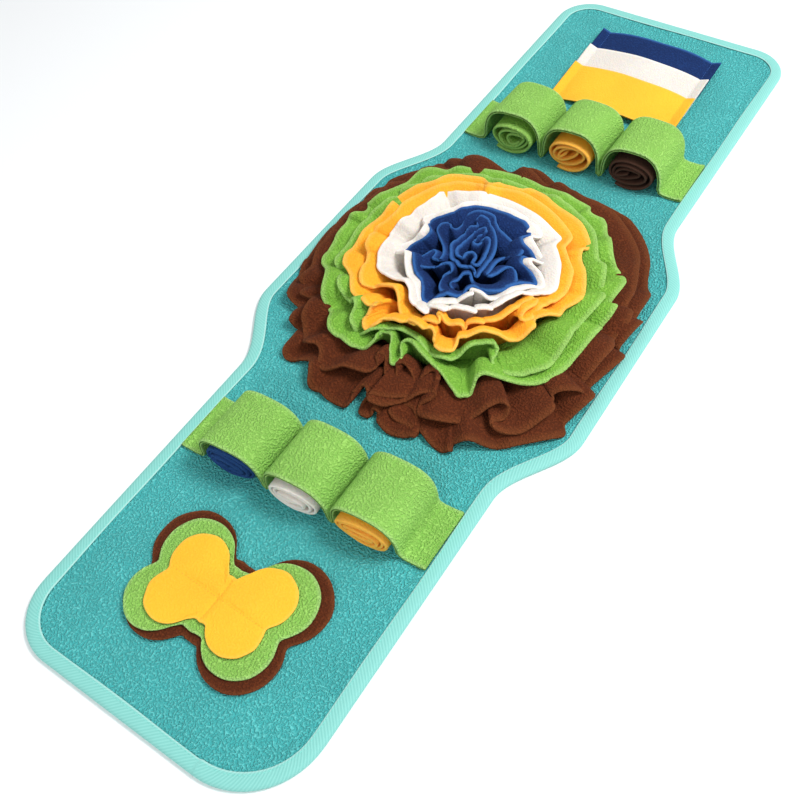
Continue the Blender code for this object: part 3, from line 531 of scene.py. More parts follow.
def edge_distance(points):
    """Distance of each point from the mat's outline, worked out for part of it at a time."""
    best = np.full(len(points), 1e9)
    for start in range(0, len(OUTLINE), AT_ONCE):
        part = OUTLINE[start:start + AT_ONCE]
        off = np.linalg.norm(points[:, None, :] - part[None, :, :], axis=2).min(axis=1)
        best = np.minimum(best, off)
    return best


def rim_lift(inset):
    """How much the mat's face climbs towards its tape."""
    return (TAPE_THICK + TAPE_GAP) * (1.0 - smooth_step((inset - TAPE_COVER - RIM_FROM) / RIM_RAMP))


def face_height(x, y, inset):
    """Height of the mat's face: flat, raised at the rim, with shallow dips."""
    broad = np.sin(x / 31.0 + 1.3) * np.sin(y / 43.0)
    small = np.sin(x / 17.0) * np.sin(y / 23.0 + 0.7)
    dips = (broad + small) * DIP
    pucker = PUCKER * np.sin((x + y) / 3.1) * np.exp(-((inset - 14.0) / 4.0) ** 2)
    return BASE_THICK - FACE_SINK + rim_lift(inset) + dips + pucker


def outline_reach(along, side):
    """Where the outline crosses a line across the mat."""
    radius = FAR_RADIUS if along > 0 else (NEAR_RIGHT_RADIUS if side > 0 else NEAR_LEFT_RADIUS)
    past = abs(along) - (MAT_LENGTH / 2.0 - radius)
    if past <= 0.0:
        return half_width(along)
    return END_HALF_WIDTH - radius + math.sqrt(max(radius ** 2 - past ** 2, 0.0))


middle_height = face_height(0.0, 0.0, MIDDLE_HALF_WIDTH)
print(f"face in the middle of the mat: {middle_height:.2f} mm high")

# %% [markdown]
# The rows of the grid stand closer at both ends, where the corners turn. Every row runs from one
# side of the outline to the other, and stops a little inside it, within the fold of the tape.

# %% The fleece face
INSIDE_TAPE = 1.5
rows = np.concatenate([np.linspace(-447.8, -380.0, 34), np.linspace(-375.0, 400.0, 150),
                       np.linspace(404.0, 447.8, 24)])
columns = np.linspace(-1.0, 1.0, 76)
face = []
for y in rows:
    low, high = -outline_reach(y, -1) + INSIDE_TAPE, outline_reach(y, 1) - INSIDE_TAPE
    face.append([(low + (high - low) * (c + 1.0) / 2.0, y) for c in columns])
face = np.array(face)
inset = edge_distance(face.reshape(-1, 2)).reshape(face.shape[:2])
top = face_height(face[..., 0], face[..., 1], inset)
middle = np.dstack([face, top - MAT_MIDDLE])
mat = cloth_piece("mat_fleece", middle.transpose(1, 0, 2)[::-1], MAT_CLOTH, CLOTH["teal_fleece"],
                  ["base"], rim_points=2)
print(f"mat: {len(mat.data.polygons)} faces")

# %% [markdown]
# ## The binding tape
# The tape wraps the raw edge, so its section is a flat C. Here the section is drawn with soft
# corners and a slightly full top, and swept round the outline. Each point also stores where it
# lies along and across the tape, for the twill ribs.

# %% The tape
TAPE_FULL = 2.0 * (TAPE_THICK + TAPE_GAP) + BASE_THICK
outer = [(TAPE_COVER, TAPE_FULL - 0.75), (TAPE_COVER - 0.4, TAPE_FULL - 0.25),
         (TAPE_COVER - 1.4, TAPE_FULL - 0.12), (8.2, TAPE_FULL + 0.05), (5.0, TAPE_FULL + 0.15),
         (2.6, TAPE_FULL - 0.1), (1.1, TAPE_FULL - 0.7), (0.25, TAPE_FULL - 1.7),
         (0.0, TAPE_FULL / 2.0), (0.25, 1.7), (1.1, 0.7), (2.6, 0.1), (6.0, 0.0),
         (TAPE_COVER - 0.4, 0.0)]
inner = [(TAPE_COVER, TAPE_THICK), (1.4, TAPE_THICK + 0.1), (1.2, TAPE_FULL / 2.0),
         (1.4, TAPE_FULL - TAPE_THICK - 0.15), (TAPE_COVER - 0.2, TAPE_FULL - TAPE_THICK - 0.05)]
SECTION = np.array(outer + inner)
across_tape = np.concatenate([[0.0], np.cumsum(np.linalg.norm(np.diff(SECTION, axis=0), axis=1))])
points, uvs = [], []
step_mm = PERIMETER / len(OUTLINE)
for i, (spot, normal) in enumerate(zip(OUTLINE, OUTWARD)):
    sway = 0.35 * math.sin(i * 0.11) + 0.25 * math.sin(i * 0.043 + 1.0)
    puff = 0.10 * math.sin(i * 0.9) + 0.10 * math.sin(i * 0.37)
    for (away, height), across in zip(SECTION, across_tape):
        away = away + sway * away / TAPE_COVER
        height = height + puff * (height / TAPE_FULL) * math.exp(-((away - 6.0) / 4.0) ** 2)
        points.append((spot[0] - normal[0] * away, spot[1] - normal[1] * away, height))
        uvs.append((i * step_mm, across))
faces = tube_faces(len(OUTLINE), len(SECTION), True)
tape = add_piece("twill_binding", points, [f[::-1] for f in faces], TWILL, ["edge_tape"], uvs)
print(f"tape: {PERIMETER:.0f} mm long, {len(tape.data.polygons)} faces")

# %% [markdown]
# A row of lockstitch holds both edges of the tape down. A stitch is a short bent capsule that dips
# into the cloth at its ends, so the thread seems to go in and come out again. The same function
# sews every other seam of the mat.

# %% Stitch helper and the binding stitches
STATIONS, SIDES = 5, 5
FACES_PER_STITCH = (STATIONS - 1) * SIDES + 2


def stitch_faces(first):
    """Quads along one stitch, and its two ends."""
    faces = [(first + s * SIDES + k, first + s * SIDES + (k + 1) % SIDES,
              first + (s + 1) * SIDES + (k + 1) % SIDES, first + (s + 1) * SIDES + k)
             for s in range(STATIONS - 1) for k in range(SIDES)]
    far_end = first + (STATIONS - 1) * SIDES
    return faces + [tuple(first + k for k in reversed(range(SIDES))),
                    tuple(far_end + k for k in range(SIDES))]


def stitch_row(name, path, thread, pitch=3.4, length=2.5, radius=0.28, lift=0.1):
    """Stitches along a path of points and up-directions, as short bent capsules in one mesh."""
    spots = np.array([p for p, _ in path], float)
    ups = np.array([u for _, u in path], float)
    run = np.concatenate([[0.0], np.cumsum(np.linalg.norm(np.diff(spots, axis=0), axis=1))])

    def at(values, distance):
        return np.array([np.interp(distance, run, values[:, k]) for k in range(3)])

    points, faces = [], []
    for n in range(int(run[-1] / pitch)):
        begin = (n + 0.5) * pitch - length / 2.0
        for s in range(STATIONS):
            share = s / (STATIONS - 1.0)
            here = begin + length * share
            centre = at(spots, here)
            forward = unit(at(spots, here + 0.3) - at(spots, here - 0.3))
            up = unit(at(ups, here))
            side = unit(np.cross(forward, up))
            bow = lift + 0.3 * math.sin(math.pi * share) - 0.25
            fat = radius * (0.55 if s in (0, STATIONS - 1) else 1.0)
            for k in range(SIDES):
                turn = 2.0 * math.pi * k / SIDES
                points.append(centre + up * (bow + fat * math.sin(turn))
                              + side * fat * math.cos(turn))
        faces += stitch_faces(n * STATIONS * SIDES)
    return add_piece(name, points, faces, THREAD[thread])


UP = (0, 0, 1)
SEAM_INSET = TAPE_COVER - 2.0
seam = [((s[0] - n[0] * SEAM_INSET, s[1] - n[1] * SEAM_INSET, TAPE_FULL - 0.05), UP)
        for s, n in zip(OUTLINE, OUTWARD)]
binding_stitches = stitch_row("binding_stitches", seam + seam[:1], "aqua")
print("binding stitches:", len(binding_stitches.data.polygons) // FACES_PER_STITCH)

# %% [markdown]
# ## The rosette
# The rosette is nine rings of gathered fleece. A maker cuts a long strip, runs a gathering thread
# along one edge, pulls it short and sews it down as a ring; the free edge, still at full length,
# has to throw itself into folds. So a ring is described by its sewn radius and by the bends of its
# free edge, one row for each bend: where it is round the ring, how far out it reaches and how much
# it lifts. Where a bend goes back on itself, the angle goes back too, and the cloth makes an S.

# %% Bends of the brown and green rings
Bend = namedtuple("Bend", "deg reach lift")
BROWN_LOW = table(Bend, [
    (0, 149, 0), (14, 152, 2), (30, 158, 0), (44, 166, 2), (60, 172, -1), (70, 158, 3),
    (79, 150, 2), (86, 159, -1), (97, 153, 2), (108, 150, 2), (117, 165, -1), (124, 163, 3),
    (132, 171, 0), (143, 160, 2), (151, 160, 0), (161, 150, 3), (170, 146, 2), (180, 150, 0),
    (194, 152, 2), (206, 160, 0), (220, 155, 3), (229, 159, 0), (236, 171, -2), (243, 160, 3),
    (250, 167, -2), (257, 164, -1), (263, 160, -1), (262, 148, 2), (264, 139, 2), (267, 146, 1),
    (267, 157, -1), (270, 158, -2), (271, 151, 0), (273, 152, -1), (274, 158, -2), (278, 163, -2),
    (283, 163, -2), (287, 158, -2), (283, 153, 0), (278, 151, 0), (276, 145, 0), (278, 138, 0),
    (282, 137, 0), (285, 144, 0), (287, 153, -1), (290, 161, -2), (294, 169, -3), (297, 169, -3),
    (297, 164, -1), (303, 163, 1), (309, 166, -1), (318, 171, -1), (330, 168, -1), (340, 156, 2),
    (350, 151, 0),
])
BROWN_UP = table(Bend, [
    (1, 140, 0), (9, 145, -1), (17, 141, 2), (25, 145, 0), (35, 150, 2), (45, 156, -1),
    (62, 158, 0), (73, 146, 2), (84, 149, 0), (98, 141, 2), (116, 152, 0), (130, 154, 1),
    (151, 150, 0), (162, 138, 2), (176, 143, 0), (200, 145, 1), (212, 147, -1), (221, 141, 3),
    (229, 148, -1), (235, 156, -2), (240, 145, 1), (248, 153, -1), (254, 139, 2), (262, 131, 2),
    (264, 122, 3), (261, 114, 4), (264, 111, 4), (267, 120, 1), (270, 127, 0), (272, 121, 1),
    (271, 112, 3), (273, 108, 3), (277, 111, 2), (281, 118, 0), (283, 112, 2), (286, 106, 3),
    (289, 109, 2), (289, 119, 1), (283, 127, 0), (276, 137, 0), (269, 144, 0), (269, 149, -1),
    (274, 147, -1), (277, 141, -2), (281, 134, -1), (286, 126, 0), (290, 127, 1), (289, 132, 0),
    (285, 137, -1), (286, 144, -2), (291, 148, -2), (299, 147, -2), (306, 142, 1), (312, 138, 3),
    (315, 144, 3), (313, 149, 0), (309, 151, -2), (311, 158, -3), (318, 161, -3), (327, 153, 0),
    (333, 145, 1), (338, 152, -1), (349, 144, 1),
])
GREEN_LOW = table(Bend, [
    (0, 126, 0), (8, 131, -1), (15, 128, 1), (23, 133, -1), (31, 134, 0), (39, 129, 2),
    (47, 130, 1), (54, 136, -1), (59, 138, 0), (63, 131, 2), (68, 138, -1), (77, 129, 2),
    (90, 127, 1), (104, 131, 0), (118, 136, 0), (131, 141, 0), (144, 137, 1), (155, 130, 0),
    (162, 125, 2), (167, 131, 0), (173, 125, 2), (178, 132, 0), (190, 130, -1), (202, 132, 0),
    (213, 125, 2), (226, 126, 1), (240, 129, 0), (249, 124, 0), (255, 112, 1), (256, 99, 2),
    (260, 95, 3), (264, 104, 1), (268, 113, 0), (271, 108, 1), (268, 97, 2), (271, 92, 3),
    (279, 97, 1), (291, 109, 0), (298, 126, -3), (303, 123, -2), (308, 114, 2), (318, 122, 0),
    (330, 131, -1), (346, 130, 0),
])
GREEN_UP = table(Bend, [
    (0, 115, 0), (9, 118, 0), (22, 120, -1), (32, 116, 1), (41, 115, 2), (52, 120, 0), (67, 119, 1),
    (78, 117, 1), (90, 114, 0), (104, 113, 1), (114, 119, 0), (128, 125, 0), (142, 121, 0),
    (153, 117, 0), (161, 113, 1), (167, 110, 2), (173, 114, 0), (183, 111, 1), (192, 113, 0),
    (202, 117, -1), (212, 112, 1), (224, 110, 1), (231, 107, 1), (236, 103, 3), (241, 111, 0),
    (246, 113, -1), (251, 107, 1), (256, 96, 2), (262, 89, 1), (270, 86, 0), (279, 91, -1),
    (287, 97, -1), (294, 98, 0), (301, 91, 2), (308, 87, 2), (316, 89, 2), (317, 94, 0),
    (314, 104, -1), (317, 114, -3), (323, 120, -2), (332, 123, -1), (340, 122, 0), (349, 114, 2),
])
print("bends of the outer rings:", sum(map(len, (BROWN_LOW, BROWN_UP, GREEN_LOW, GREEN_UP))))

# %% [markdown]
# Further in, the rings are smaller and more crowded, so their bends lie closer. The outer blue
# ring stands right inside the upper white one and follows its folds.

# %% Bends of the yellow, white and blue rings
YELLOW_LOW = table(Bend, [
    (0, 97, 0), (7, 103, -1), (14, 104, 0), (24, 101, 1), (33, 98, 2), (38, 101, 1), (43, 110, -1),
    (55, 111, 0), (70, 109, 0), (87, 111, -1), (93, 103, 1), (103, 102, 1), (108, 97, 3),
    (113, 109, 0), (120, 114, 0), (129, 116, 0), (137, 108, 2), (145, 112, 0), (158, 110, -1),
    (164, 101, 2), (172, 98, 1), (181, 101, 0), (192, 103, 0), (199, 108, -1), (205, 109, -1),
    (212, 104, 1), (226, 101, 0), (233, 98, 1), (240, 95, 1), (244, 89, 3), (243.5, 97, 1),
    (245, 104, -1), (249, 107, -2), (252, 101, 1), (254, 92, 3), (262, 85, 3), (272, 81, 3),
    (279, 80, 3), (283, 85, 1), (285, 91, -1), (289, 93, -1), (294, 91, 0), (298, 84, 2),
    (303, 82, 3), (312, 80, 3), (319, 83, 2), (325, 91, 0), (331, 93, -1), (337, 90, 1),
    (344, 88, 2), (352, 94, 0),
])
YELLOW_UP = table(Bend, [
    (0, 87, 0), (10, 91, 0), (22, 91, 1), (31, 87, 1), (38, 85, 2), (45, 93, 0), (52, 97, -1),
    (68, 96, 0), (86, 96, 0), (100, 95, 1), (108, 90, 2), (116, 98, 0), (128, 103, -1),
    (140, 99, 1), (152, 95, 0), (162, 91, 1), (171, 86, 2), (180, 90, 0), (187, 94, -1),
    (194, 89, 2), (202, 88, 1), (213, 92, -1), (223, 91, 0), (230, 83, 1), (234, 75, 2),
    (243, 69, 3), (252, 74, 1), (260, 80, -1), (267, 79, -1), (274, 75, 1), (281, 72, 2),
    (284, 68, 3), (289, 72, 2), (296, 70, 1), (300, 73, 0), (307, 71, 1), (315, 70, 1),
    (326, 71, 1), (338, 70, 2), (350, 70, 1), (355, 73, 0), (350, 77, 1), (340, 76.5, 2),
    (336, 80, 0), (341, 84, -1), (352, 82, 0),
])
WHITE_LOW = table(Bend, [
    (0, 77, 0), (7, 82, -1), (15, 81, 1), (24, 80, 2), (33, 78, 1), (42, 78, 0), (49, 86, -2),
    (57, 82, 0), (68, 79, 1), (82, 79, 0), (98, 80, 0), (112, 81, 1), (124, 84, 0), (133, 91, -2),
    (138, 87, 0), (144, 79, 2), (154, 75, 1), (165, 75, 0), (174, 72, 2), (183, 77, -1),
    (193, 73, 2), (203, 76, 0), (213, 77, -1), (223, 72, 1), (232, 65, 2), (241, 59, 3),
    (250, 60, 3), (257, 65, 2), (264, 68, 1), (270, 67, 1), (275, 63, 2), (282, 62, 3),
    (291, 61, 3), (301, 61, 3), (309, 62, 3), (317, 62, 3), (325, 62, 2), (336, 61, 3),
    (348, 63, 2), (355, 70, 0),
])
WHITE_UP = table(Bend, [
    (0, 65, 0), (6, 72, -2), (13, 66, 1), (17.5, 57, 3), (21.5, 57, 3), (25, 66, 0), (28, 67, -2),
    (36, 62, 1), (45, 58, 3), (50, 61, 2), (54, 71, -1), (67, 72, 0), (78, 69, 1), (92, 68, 0),
    (104, 69, 0), (115, 69, 0), (123, 63, 2), (133, 60, 1), (143, 61, 0), (154, 63, 0),
    (162, 59, 1), (167, 51, 3), (173, 46, 4), (180, 47, 4), (186, 53, 1), (193, 60, -1),
    (200, 61, -1), (207, 53, 3), (219, 52, 2), (233, 53, 1), (247, 53, 1), (256, 58, 0),
    (262, 63, -2), (269, 63, -2), (275, 58, 1), (285, 54, 2), (297, 53, 2), (303, 48, 4),
    (311, 45, 4), (319, 50, 2), (333, 55, 0), (346, 57, 1),
])
BLUE_OUTER = table(Bend, [
    (0, 58, 0), (6, 65, -2), (11, 58, 1), (16, 49, 2), (23, 49, 2), (26, 55, 0), (29, 59, -2),
    (36, 55, 1), (43, 50, 2), (52, 52, 1), (58, 63, -2), (67, 65, 0), (78, 62, 1), (92, 61, 0),
    (104, 62, 0), (115, 62, 0), (123, 56, 2), (133, 53, 1), (143, 54, 0), (154, 56, -1),
    (162, 52, 0), (167, 44, 2), (173, 39, 3), (180, 40, 2), (186, 46, 0), (193, 53, -2),
    (200, 54, -2), (207, 46, 1), (219, 45, 2), (233, 46, 0), (247, 46, 0), (256, 51, 0),
    (262, 57, -2), (269, 57, -2), (275, 51, 1), (285, 47, 2), (297, 46, 1), (303, 41, 2),
    (311, 38, 2), (319, 43, 0), (333, 47, -1), (346, 50, 0),
])
print("bends of the inner rings:",
      sum(map(len, (YELLOW_LOW, YELLOW_UP, WHITE_LOW, WHITE_UP, BLUE_OUTER))))

# %% [markdown]
# Each ring gets a row: its cloth, the radius of its seam, the height of its free edge, how much it
# puffs up on the way, how deep its small flutes are, a seed, and its bends. On top of the bends
# come pleats where a strip is crowded, leaning until they overlap. A row of pleats says between
# which angles they lie, how many there are, and how deep, how high and how slanting they are.

# %% The rings and their pleats
Ruffle = namedtuple("Ruffle", "name node cloth root edge_height puff flute seed bends")
RUFFLES = table(Ruffle, [
    ("brown_ruffle_low", "ruffle_brown_low", "brown_fleece", 110.0, 9.0, 3.5, 2.0, 11, BROWN_LOW),
    ("brown_ruffle_up", "ruffle_brown_up", "brown_fleece", 96.0, 19.0, 3.0, 2.1, 12, BROWN_UP),
    ("green_ruffle_low", "ruffle_green_low", "green_fleece", 88.0, 28.0, 1.0, 1.8, 13, GREEN_LOW),
    ("green_ruffle_up", "ruffle_green_up", "green_fleece", 77.0, 34.0, 0.0, 1.7, 14, GREEN_UP),
    ("yellow_ruffle_low", "ruffle_yellow_low", "orange_fleece", 66.5, 39.5, 0.0, 1.5, 15,
     YELLOW_LOW),
    ("yellow_ruffle_up", "ruffle_yellow_up", "orange_fleece", 56.5, 43.5, 0.0, 1.4, 16, YELLOW_UP),
    ("white_ruffle_low", "ruffle_white_low", "white_fleece", 47.5, 46.5, 0.0, 0.6, 17, WHITE_LOW),
    ("white_ruffle_up", "ruffle_white_up", "white_fleece", 38.5, 48.5, 0.0, 0.5, 18, WHITE_UP),
    ("blue_ruffle_outer", "ruffle_blue_outer", "blue_fleece", 30.0, 50.0, 0.0, 0.6, 19, BLUE_OUTER),
])
Pleats = namedtuple("Pleats", "start end count depth lift lean")
PLEATS = {name: table(Pleats, rows) for name, rows in {
    "brown_ruffle_low": [(196, 256, 5, 4.5, 3.5, 1.5), (304, 400, 6, 4.5, 4.0, 6.0),
                         (76, 158, 5, 4.0, 5.0, 4.0)],
    "brown_ruffle_up": [(190, 246, 5, 4.0, 2.0, 1.5), (318, 384, 4, 4.0, 4.0, 6.0),
                        (80, 150, 4, 3.5, 5.0, 4.0)],
    "green_ruffle_low": [(196, 250, 3, 3.0, 4.0, 2.0), (118, 190, 4, 2.5, 3.0, 2.5),
                         (334, 416, 5, 2.6, 4.0, 3.5)],
    "green_ruffle_up": [(200, 250, 3, 2.5, 3.5, 2.0), (130, 180, 3, 2.5, 2.0, 2.5),
                        (326, 405, 4, 2.4, 3.0, 3.0)],
    "yellow_ruffle_low": [(184, 240, 3, 1.4, 2.0, 0.5), (256, 302, 3, 3.0, 2.0, 3.0),
                          (310, 370, 3, 2.5, 2.0, 2.5)],
    "yellow_ruffle_up": [(175, 235, 3, 3.0, 3.0, 2.5), (262, 322, 4, 3.0, 1.5, 3.0)],
    "white_ruffle_low": [(150, 215, 3, 1.5, 1.5, 1.0), (248, 332, 5, 2.8, 1.5, 3.4)],
    "white_ruffle_up": [(150, 215, 3, 1.3, 1.2, 1.0), (258, 338, 4, 2.2, 1.5, 3.2)],
}.items()}
FLEECE = 2.0
ROSE_Y = 3.0
ROOT_HEIGHT = BASE_THICK + GAP + FLEECE / 2.0
LOWEST_EDGE = ROOT_HEIGHT + 0.8
pleat_count = sum(pleat.count for rows in PLEATS.values() for pleat in rows)
print("rings:", len(RUFFLES), "with", pleat_count, "pleats")

# %% [markdown]
# The free edge is a line of points: the further a fold reaches out, the lower it hangs. The seam
# below it is a plain circle, but its points follow the edge round without ever going back. A
# gathered fold is round at its crest and narrow at its neck, so points of the edge slide along the
# strip, away from each crest.

# %% Free edges and seams
DROOP, LIFTED = 0.22, 1.5
SLIDE_LIMIT = 2.6


def calmed(points, passes):
    """Points averaged with their neighbours, a few times."""
    for _ in range(passes):
        points = (np.roll(points, 1, axis=0) + points + np.roll(points, -1, axis=0)) / 3.0
    return points


def usual_reach(bends, place):
    """Mean reach of the bends near one of them, three on each side."""
    return np.mean([bends[(place + step) % len(bends)].reach for step in range(-3, 4)])


def edge_rows(ruffle):
    """The bends as points: the further a fold reaches out, the lower it hangs."""
    rows = []
    for place, bend in enumerate(ruffle.bends):
        droop = DROOP * (bend.reach - usual_reach(ruffle.bends, place))
        height = max(ruffle.edge_height + LIFTED * bend.lift - droop, LOWEST_EDGE)
        turn = math.radians(bend.deg)
        rows.append((bend.reach * math.cos(turn), ROSE_Y + bend.reach * math.sin(turn), height))
    return rows


def root_circle(radius, edge):
    """The seam: a circle whose angles follow the free edge without going back."""
    angles = np.unwrap(np.arctan2(edge[:, 1] - ROSE_Y, edge[:, 0]))
    even = angles[0] + 2.0 * math.pi * np.arange(len(edge)) / len(edge)
    turns = even + calmed(angles - even, 6)
    return np.stack([radius * np.cos(turns), ROSE_Y + radius * np.sin(turns),
                     np.full(len(edge), ROOT_HEIGHT)], axis=1)


def pinch_necks(edge, calm, pinch):
    """Slide the edge's points so that each fold is round at its crest and narrow at its neck."""
    spans = np.roll(calm, -1, axis=0) - np.roll(calm, 1, axis=0)
    ahead, steps = unit(spans), np.linalg.norm(spans, axis=1)
    out = np.stack([ahead[:, 1], -ahead[:, 0]], axis=1)
    depth = np.sum((edge - calm)[:, :2] * out, axis=1)
    slope = (np.roll(depth, -1) - np.roll(depth, 1)) / np.maximum(steps, 1e-6)
    slide = np.clip(-pinch * depth * slope, -SLIDE_LIMIT, SLIDE_LIMIT)
    moved = edge.copy()
    moved[:, :2] += ahead[:, :2] * calmed(slide[:, None], 3)
    return moved


print("lowest free edge:", round(LOWEST_EDGE, 2), "mm above the floor")

# %% [markdown]
# Pleats push the edge out and in, up and down, and along. Their waves are arcsines of a sine,
# which are nearer to a row of straight-sided folds than a plain sine is. Flutes are finer: they
# run out from the seam in groups and deepen towards the free edge.

# %% Pleats and flutes
BROAD_WAVES, NARROW_WAVES = (14, 36), (40, 80)


def pleated(edge, calm, pleats):
    """Extra folds where a strip is crowded, leaning over each other."""
    ahead = unit(np.roll(calm, -1, axis=0) - np.roll(calm, 1, axis=0))[:, :2]
    out = np.stack([ahead[:, 1], -ahead[:, 0]], axis=1)
    turn = np.degrees(np.arctan2(calm[:, 1] - ROSE_Y, calm[:, 0]))
    moved = edge.copy()
    for pleat in pleats:
        part = ((turn - pleat.start) % 360.0) / (pleat.end - pleat.start)
        swell = np.where(part < 1.0, np.sin(math.pi * np.minimum(part, 1.0)) ** 0.5, 0.0)
        uneven = 0.16 * np.sin(2.0 * math.pi * 0.37 * pleat.count * part + pleat.start)
        phase = 2.0 * math.pi * (pleat.count * part + uneven)
        wave = (swell * np.arcsin(0.95 * np.sin(phase)) / 1.25)[:, None]
        moved[:, :2] += wave * (pleat.depth * out + pleat.lean * ahead)
        moved[:, 2] += pleat.lift * swell * np.sin(phase + 0.9)
    return moved


def flutes(grid, parts, depth, seed):
    """Small folds that run out from the seam, in groups, and deepen towards the free edge."""
    count = len(grid)
    place = np.arange(count) / count
    normals = grid_axes(grid, True)[2]
    group = smooth_step(0.4 + 0.8 * wrinkle(seed + 7, place, 4, (2, 8)))
    broad = wrinkle(seed, place, 5, BROAD_WAVES) * (0.4 + 0.6 * group)
    narrow = wrinkle(seed + 50, place, 6, NARROW_WAVES) * group
    swell = np.clip(parts, 0.0, 1.0)[None, :] ** 0.8
    wave = depth * swell * (broad + 0.45 * narrow)[:, None]
    return grid + normals * wave[..., None]


print("waves round a ring: broad", BROAD_WAVES, "and narrow", NARROW_WAVES)

# %% [markdown]
# A strip leaves its seam steeply, then leans out. Near the seam its folds are still shallow, and
# they deepen towards the free edge. Inside the seam lies the strip's flat margin. With that, a
# strip is built from its bends in one go, and so is each ring.

# %% From bends to rings of cloth
COARSE, FINE = 2, 6
STEEP, PINCH = 2.3, 0.30
PARTS = np.linspace(0.0, 1.0, 15)
RING_THICK = 2.7


def strip_surface(root, edge, calm, puff, parts):
    """Middle points of a gathered strip, from its seam to its free edge."""
    p = parts[None, :, None]
    low, high, mean = root[:, None, :], edge[:, None, :], calm[:, None, :]
    share = 0.10 + 0.90 * p ** 0.75
    plan = low + (mean - low) * p ** 1.6 + (high - mean) * share
    height = low + (high - low) * (1.0 - (1.0 - p) ** STEEP) + puff * 4.0 * p * (1.0 - p)
    return np.concatenate([plan[..., :2], height[..., 2:]], axis=2)


def seam_allowance(root, widths):
    """The strip's flat margin inside its seam, which covers the mat between two rings."""
    centre = root.mean(axis=0)
    inward = unit(centre[:2] - root[:, :2])
    rows = []
    for width in widths:
        row = root.copy()
        row[:, :2] += inward * width
        rows.append(row)
    return np.stack(rows, axis=1)


def gathered_strip(rows, root, puff, depth, seed, pinch, margin, pleats=()):
    """A strip from its bends and its seam line, with its margin, folds and flutes."""
    edge = closed_spline(rows, COARSE)
    calm = closed_spline(calmed(edge, 5), FINE)
    fine_root = closed_spline(root, FINE)
    edge = pleated(pinch_necks(closed_spline(edge, FINE), calm, pinch), calm, pleats)
    edge[:, 2] += depth * 1.1 * wrinkle(seed + 90, np.arange(len(edge)) / len(edge), 4, (12, 26))
    edge[:, 2] = np.maximum(edge[:, 2], LOWEST_EDGE)
    surface = flutes(strip_surface(fine_root, edge, calm, puff, PARTS), PARTS, depth, seed)
    return np.concatenate([seam_allowance(fine_root, (margin, margin / 2.0, 1.5)), surface], axis=1)


def ruffle_grid(ruffle):
    """Middle points of one ring of the rosette."""
    rows = edge_rows(ruffle)
    root = root_circle(ruffle.root, closed_spline(rows, COARSE))
    smaller = [other.root for other in RUFFLES if other.root < ruffle.root]
    within = max(smaller, default=ruffle.root - 9.0)
    return gathered_strip(rows, root, ruffle.puff, ruffle.flute, ruffle.seed, PINCH,
                          ruffle.root - within - 1.0, PLEATS.get(ruffle.name, ()))


for ruffle in RUFFLES:
    grid = ruffle_grid(ruffle)
    ring = cloth_piece(ruffle.name, grid, RING_THICK, CLOTH[ruffle.cloth], [ruffle.node],
                       closed=True)

# %% [markdown]
# ## The blue heart
# Inside the rings lie three short strips sewn down along a winding line, so that their upright
# edges fill the middle like petals. Their bends are plain positions from the rosette's middle.

# %% Bends of the heart
Turn = namedtuple("Turn", "across along lift")
BLUE_MIDDLE = table(Turn, [
    (52, -7, 0), (46, -19, 0), (38, -25, 1), (28, -26, 0), (20, -22, 0), (14, -17, 1), (9, -19, 0),
    (8, -26, -1), (5, -33, 0), (10, -39, -1), (8, -43, -1), (1, -43, 0), (-3, -37, 0), (-4, -29, 0),
    (-2, -20, 0), (-7, -15, 1), (-13, -18, 0), (-17, -25, 0), (-23, -29, 1), (-29, -29, 0),
    (-33, -22, 0), (-31, -15, 0), (-28, -9, 1), (-24, -10, 1), (-23, -16, 0), (-18, -15, 0),
    (-18, -8, 0), (-22, -1, 0), (-28, 4, 1), (-34, 9, 0), (-39, 15, -1), (-39, 22, 0), (-34, 26, 0),
    (-28, 22, 1), (-24, 23, 0), (-23, 31, -1), (-25, 41, 0), (-20, 50, 1), (-12, 54, 0),
    (-3, 53, 0), (2, 47, 0), (9, 41, 0), (17, 37, 1), (26, 34, 0), (34, 32, 0), (40, 27, 1),
    (38, 20, 0), (30, 16, -1), (26, 8, -1), (26, -2, -1), (28, -10, 0), (33, -4, 0), (37, 4, 1),
    (43, 7, 0), (49, 1, 0),
])
BLUE_INNER = table(Turn, [
    (20, -8, 0), (20, -15, 0), (15, -11, 1), (9, -9, 0), (2, -12, 0), (-4, -10, 1), (-10, -8, 0),
    (-14, -2, 0), (-18, 5, 1), (-17, 13, 0), (-15, 22, 0), (-15, 31, 1), (-10, 36, 0), (-14, 41, 0),
    (-14, 47, 1), (-7, 48, 0), (0, 42, 0), (7, 36, 1), (14, 27, 0), (19, 15, 0), (20, 3, 0),
])
BLUE_CORE = table(Turn, [
    (14, -2, 0), (9, -4, 0), (8, 3, 1), (3, 8, 0), (-2, 5, 0), (-3, -2, 0), (-8, -2, 1),
    (-12, 4, 0), (-11, 13, 0), (-9, 22, 1), (-9, 31, 0), (-4, 38, 0), (0, 34, 1), (-3, 27, 0),
    (-4, 19, 0), (1, 18, 0), (4, 28, 1), (9, 25, 0), (12, 16, 0), (14, 7, 0),
])
Curl = namedtuple("Curl", "name node root_scale root_y edge_height seed turns")
CURLS = table(Curl, [
    ("blue_curl_middle", "ruffle_blue_middle", 0.52, 1.0, 50.5, 31, BLUE_MIDDLE),
    ("blue_curl_inner", "ruffle_blue_inner", 0.52, 3.0, 50.0, 32, BLUE_INNER),
    ("blue_curl_core", "ruffle_blue_core", 0.52, 5.0, 49.0, 33, BLUE_CORE),
])
CURL_FLUTE, CURL_PINCH, CURL_MARGIN = 0.25, 0.20, 8.0


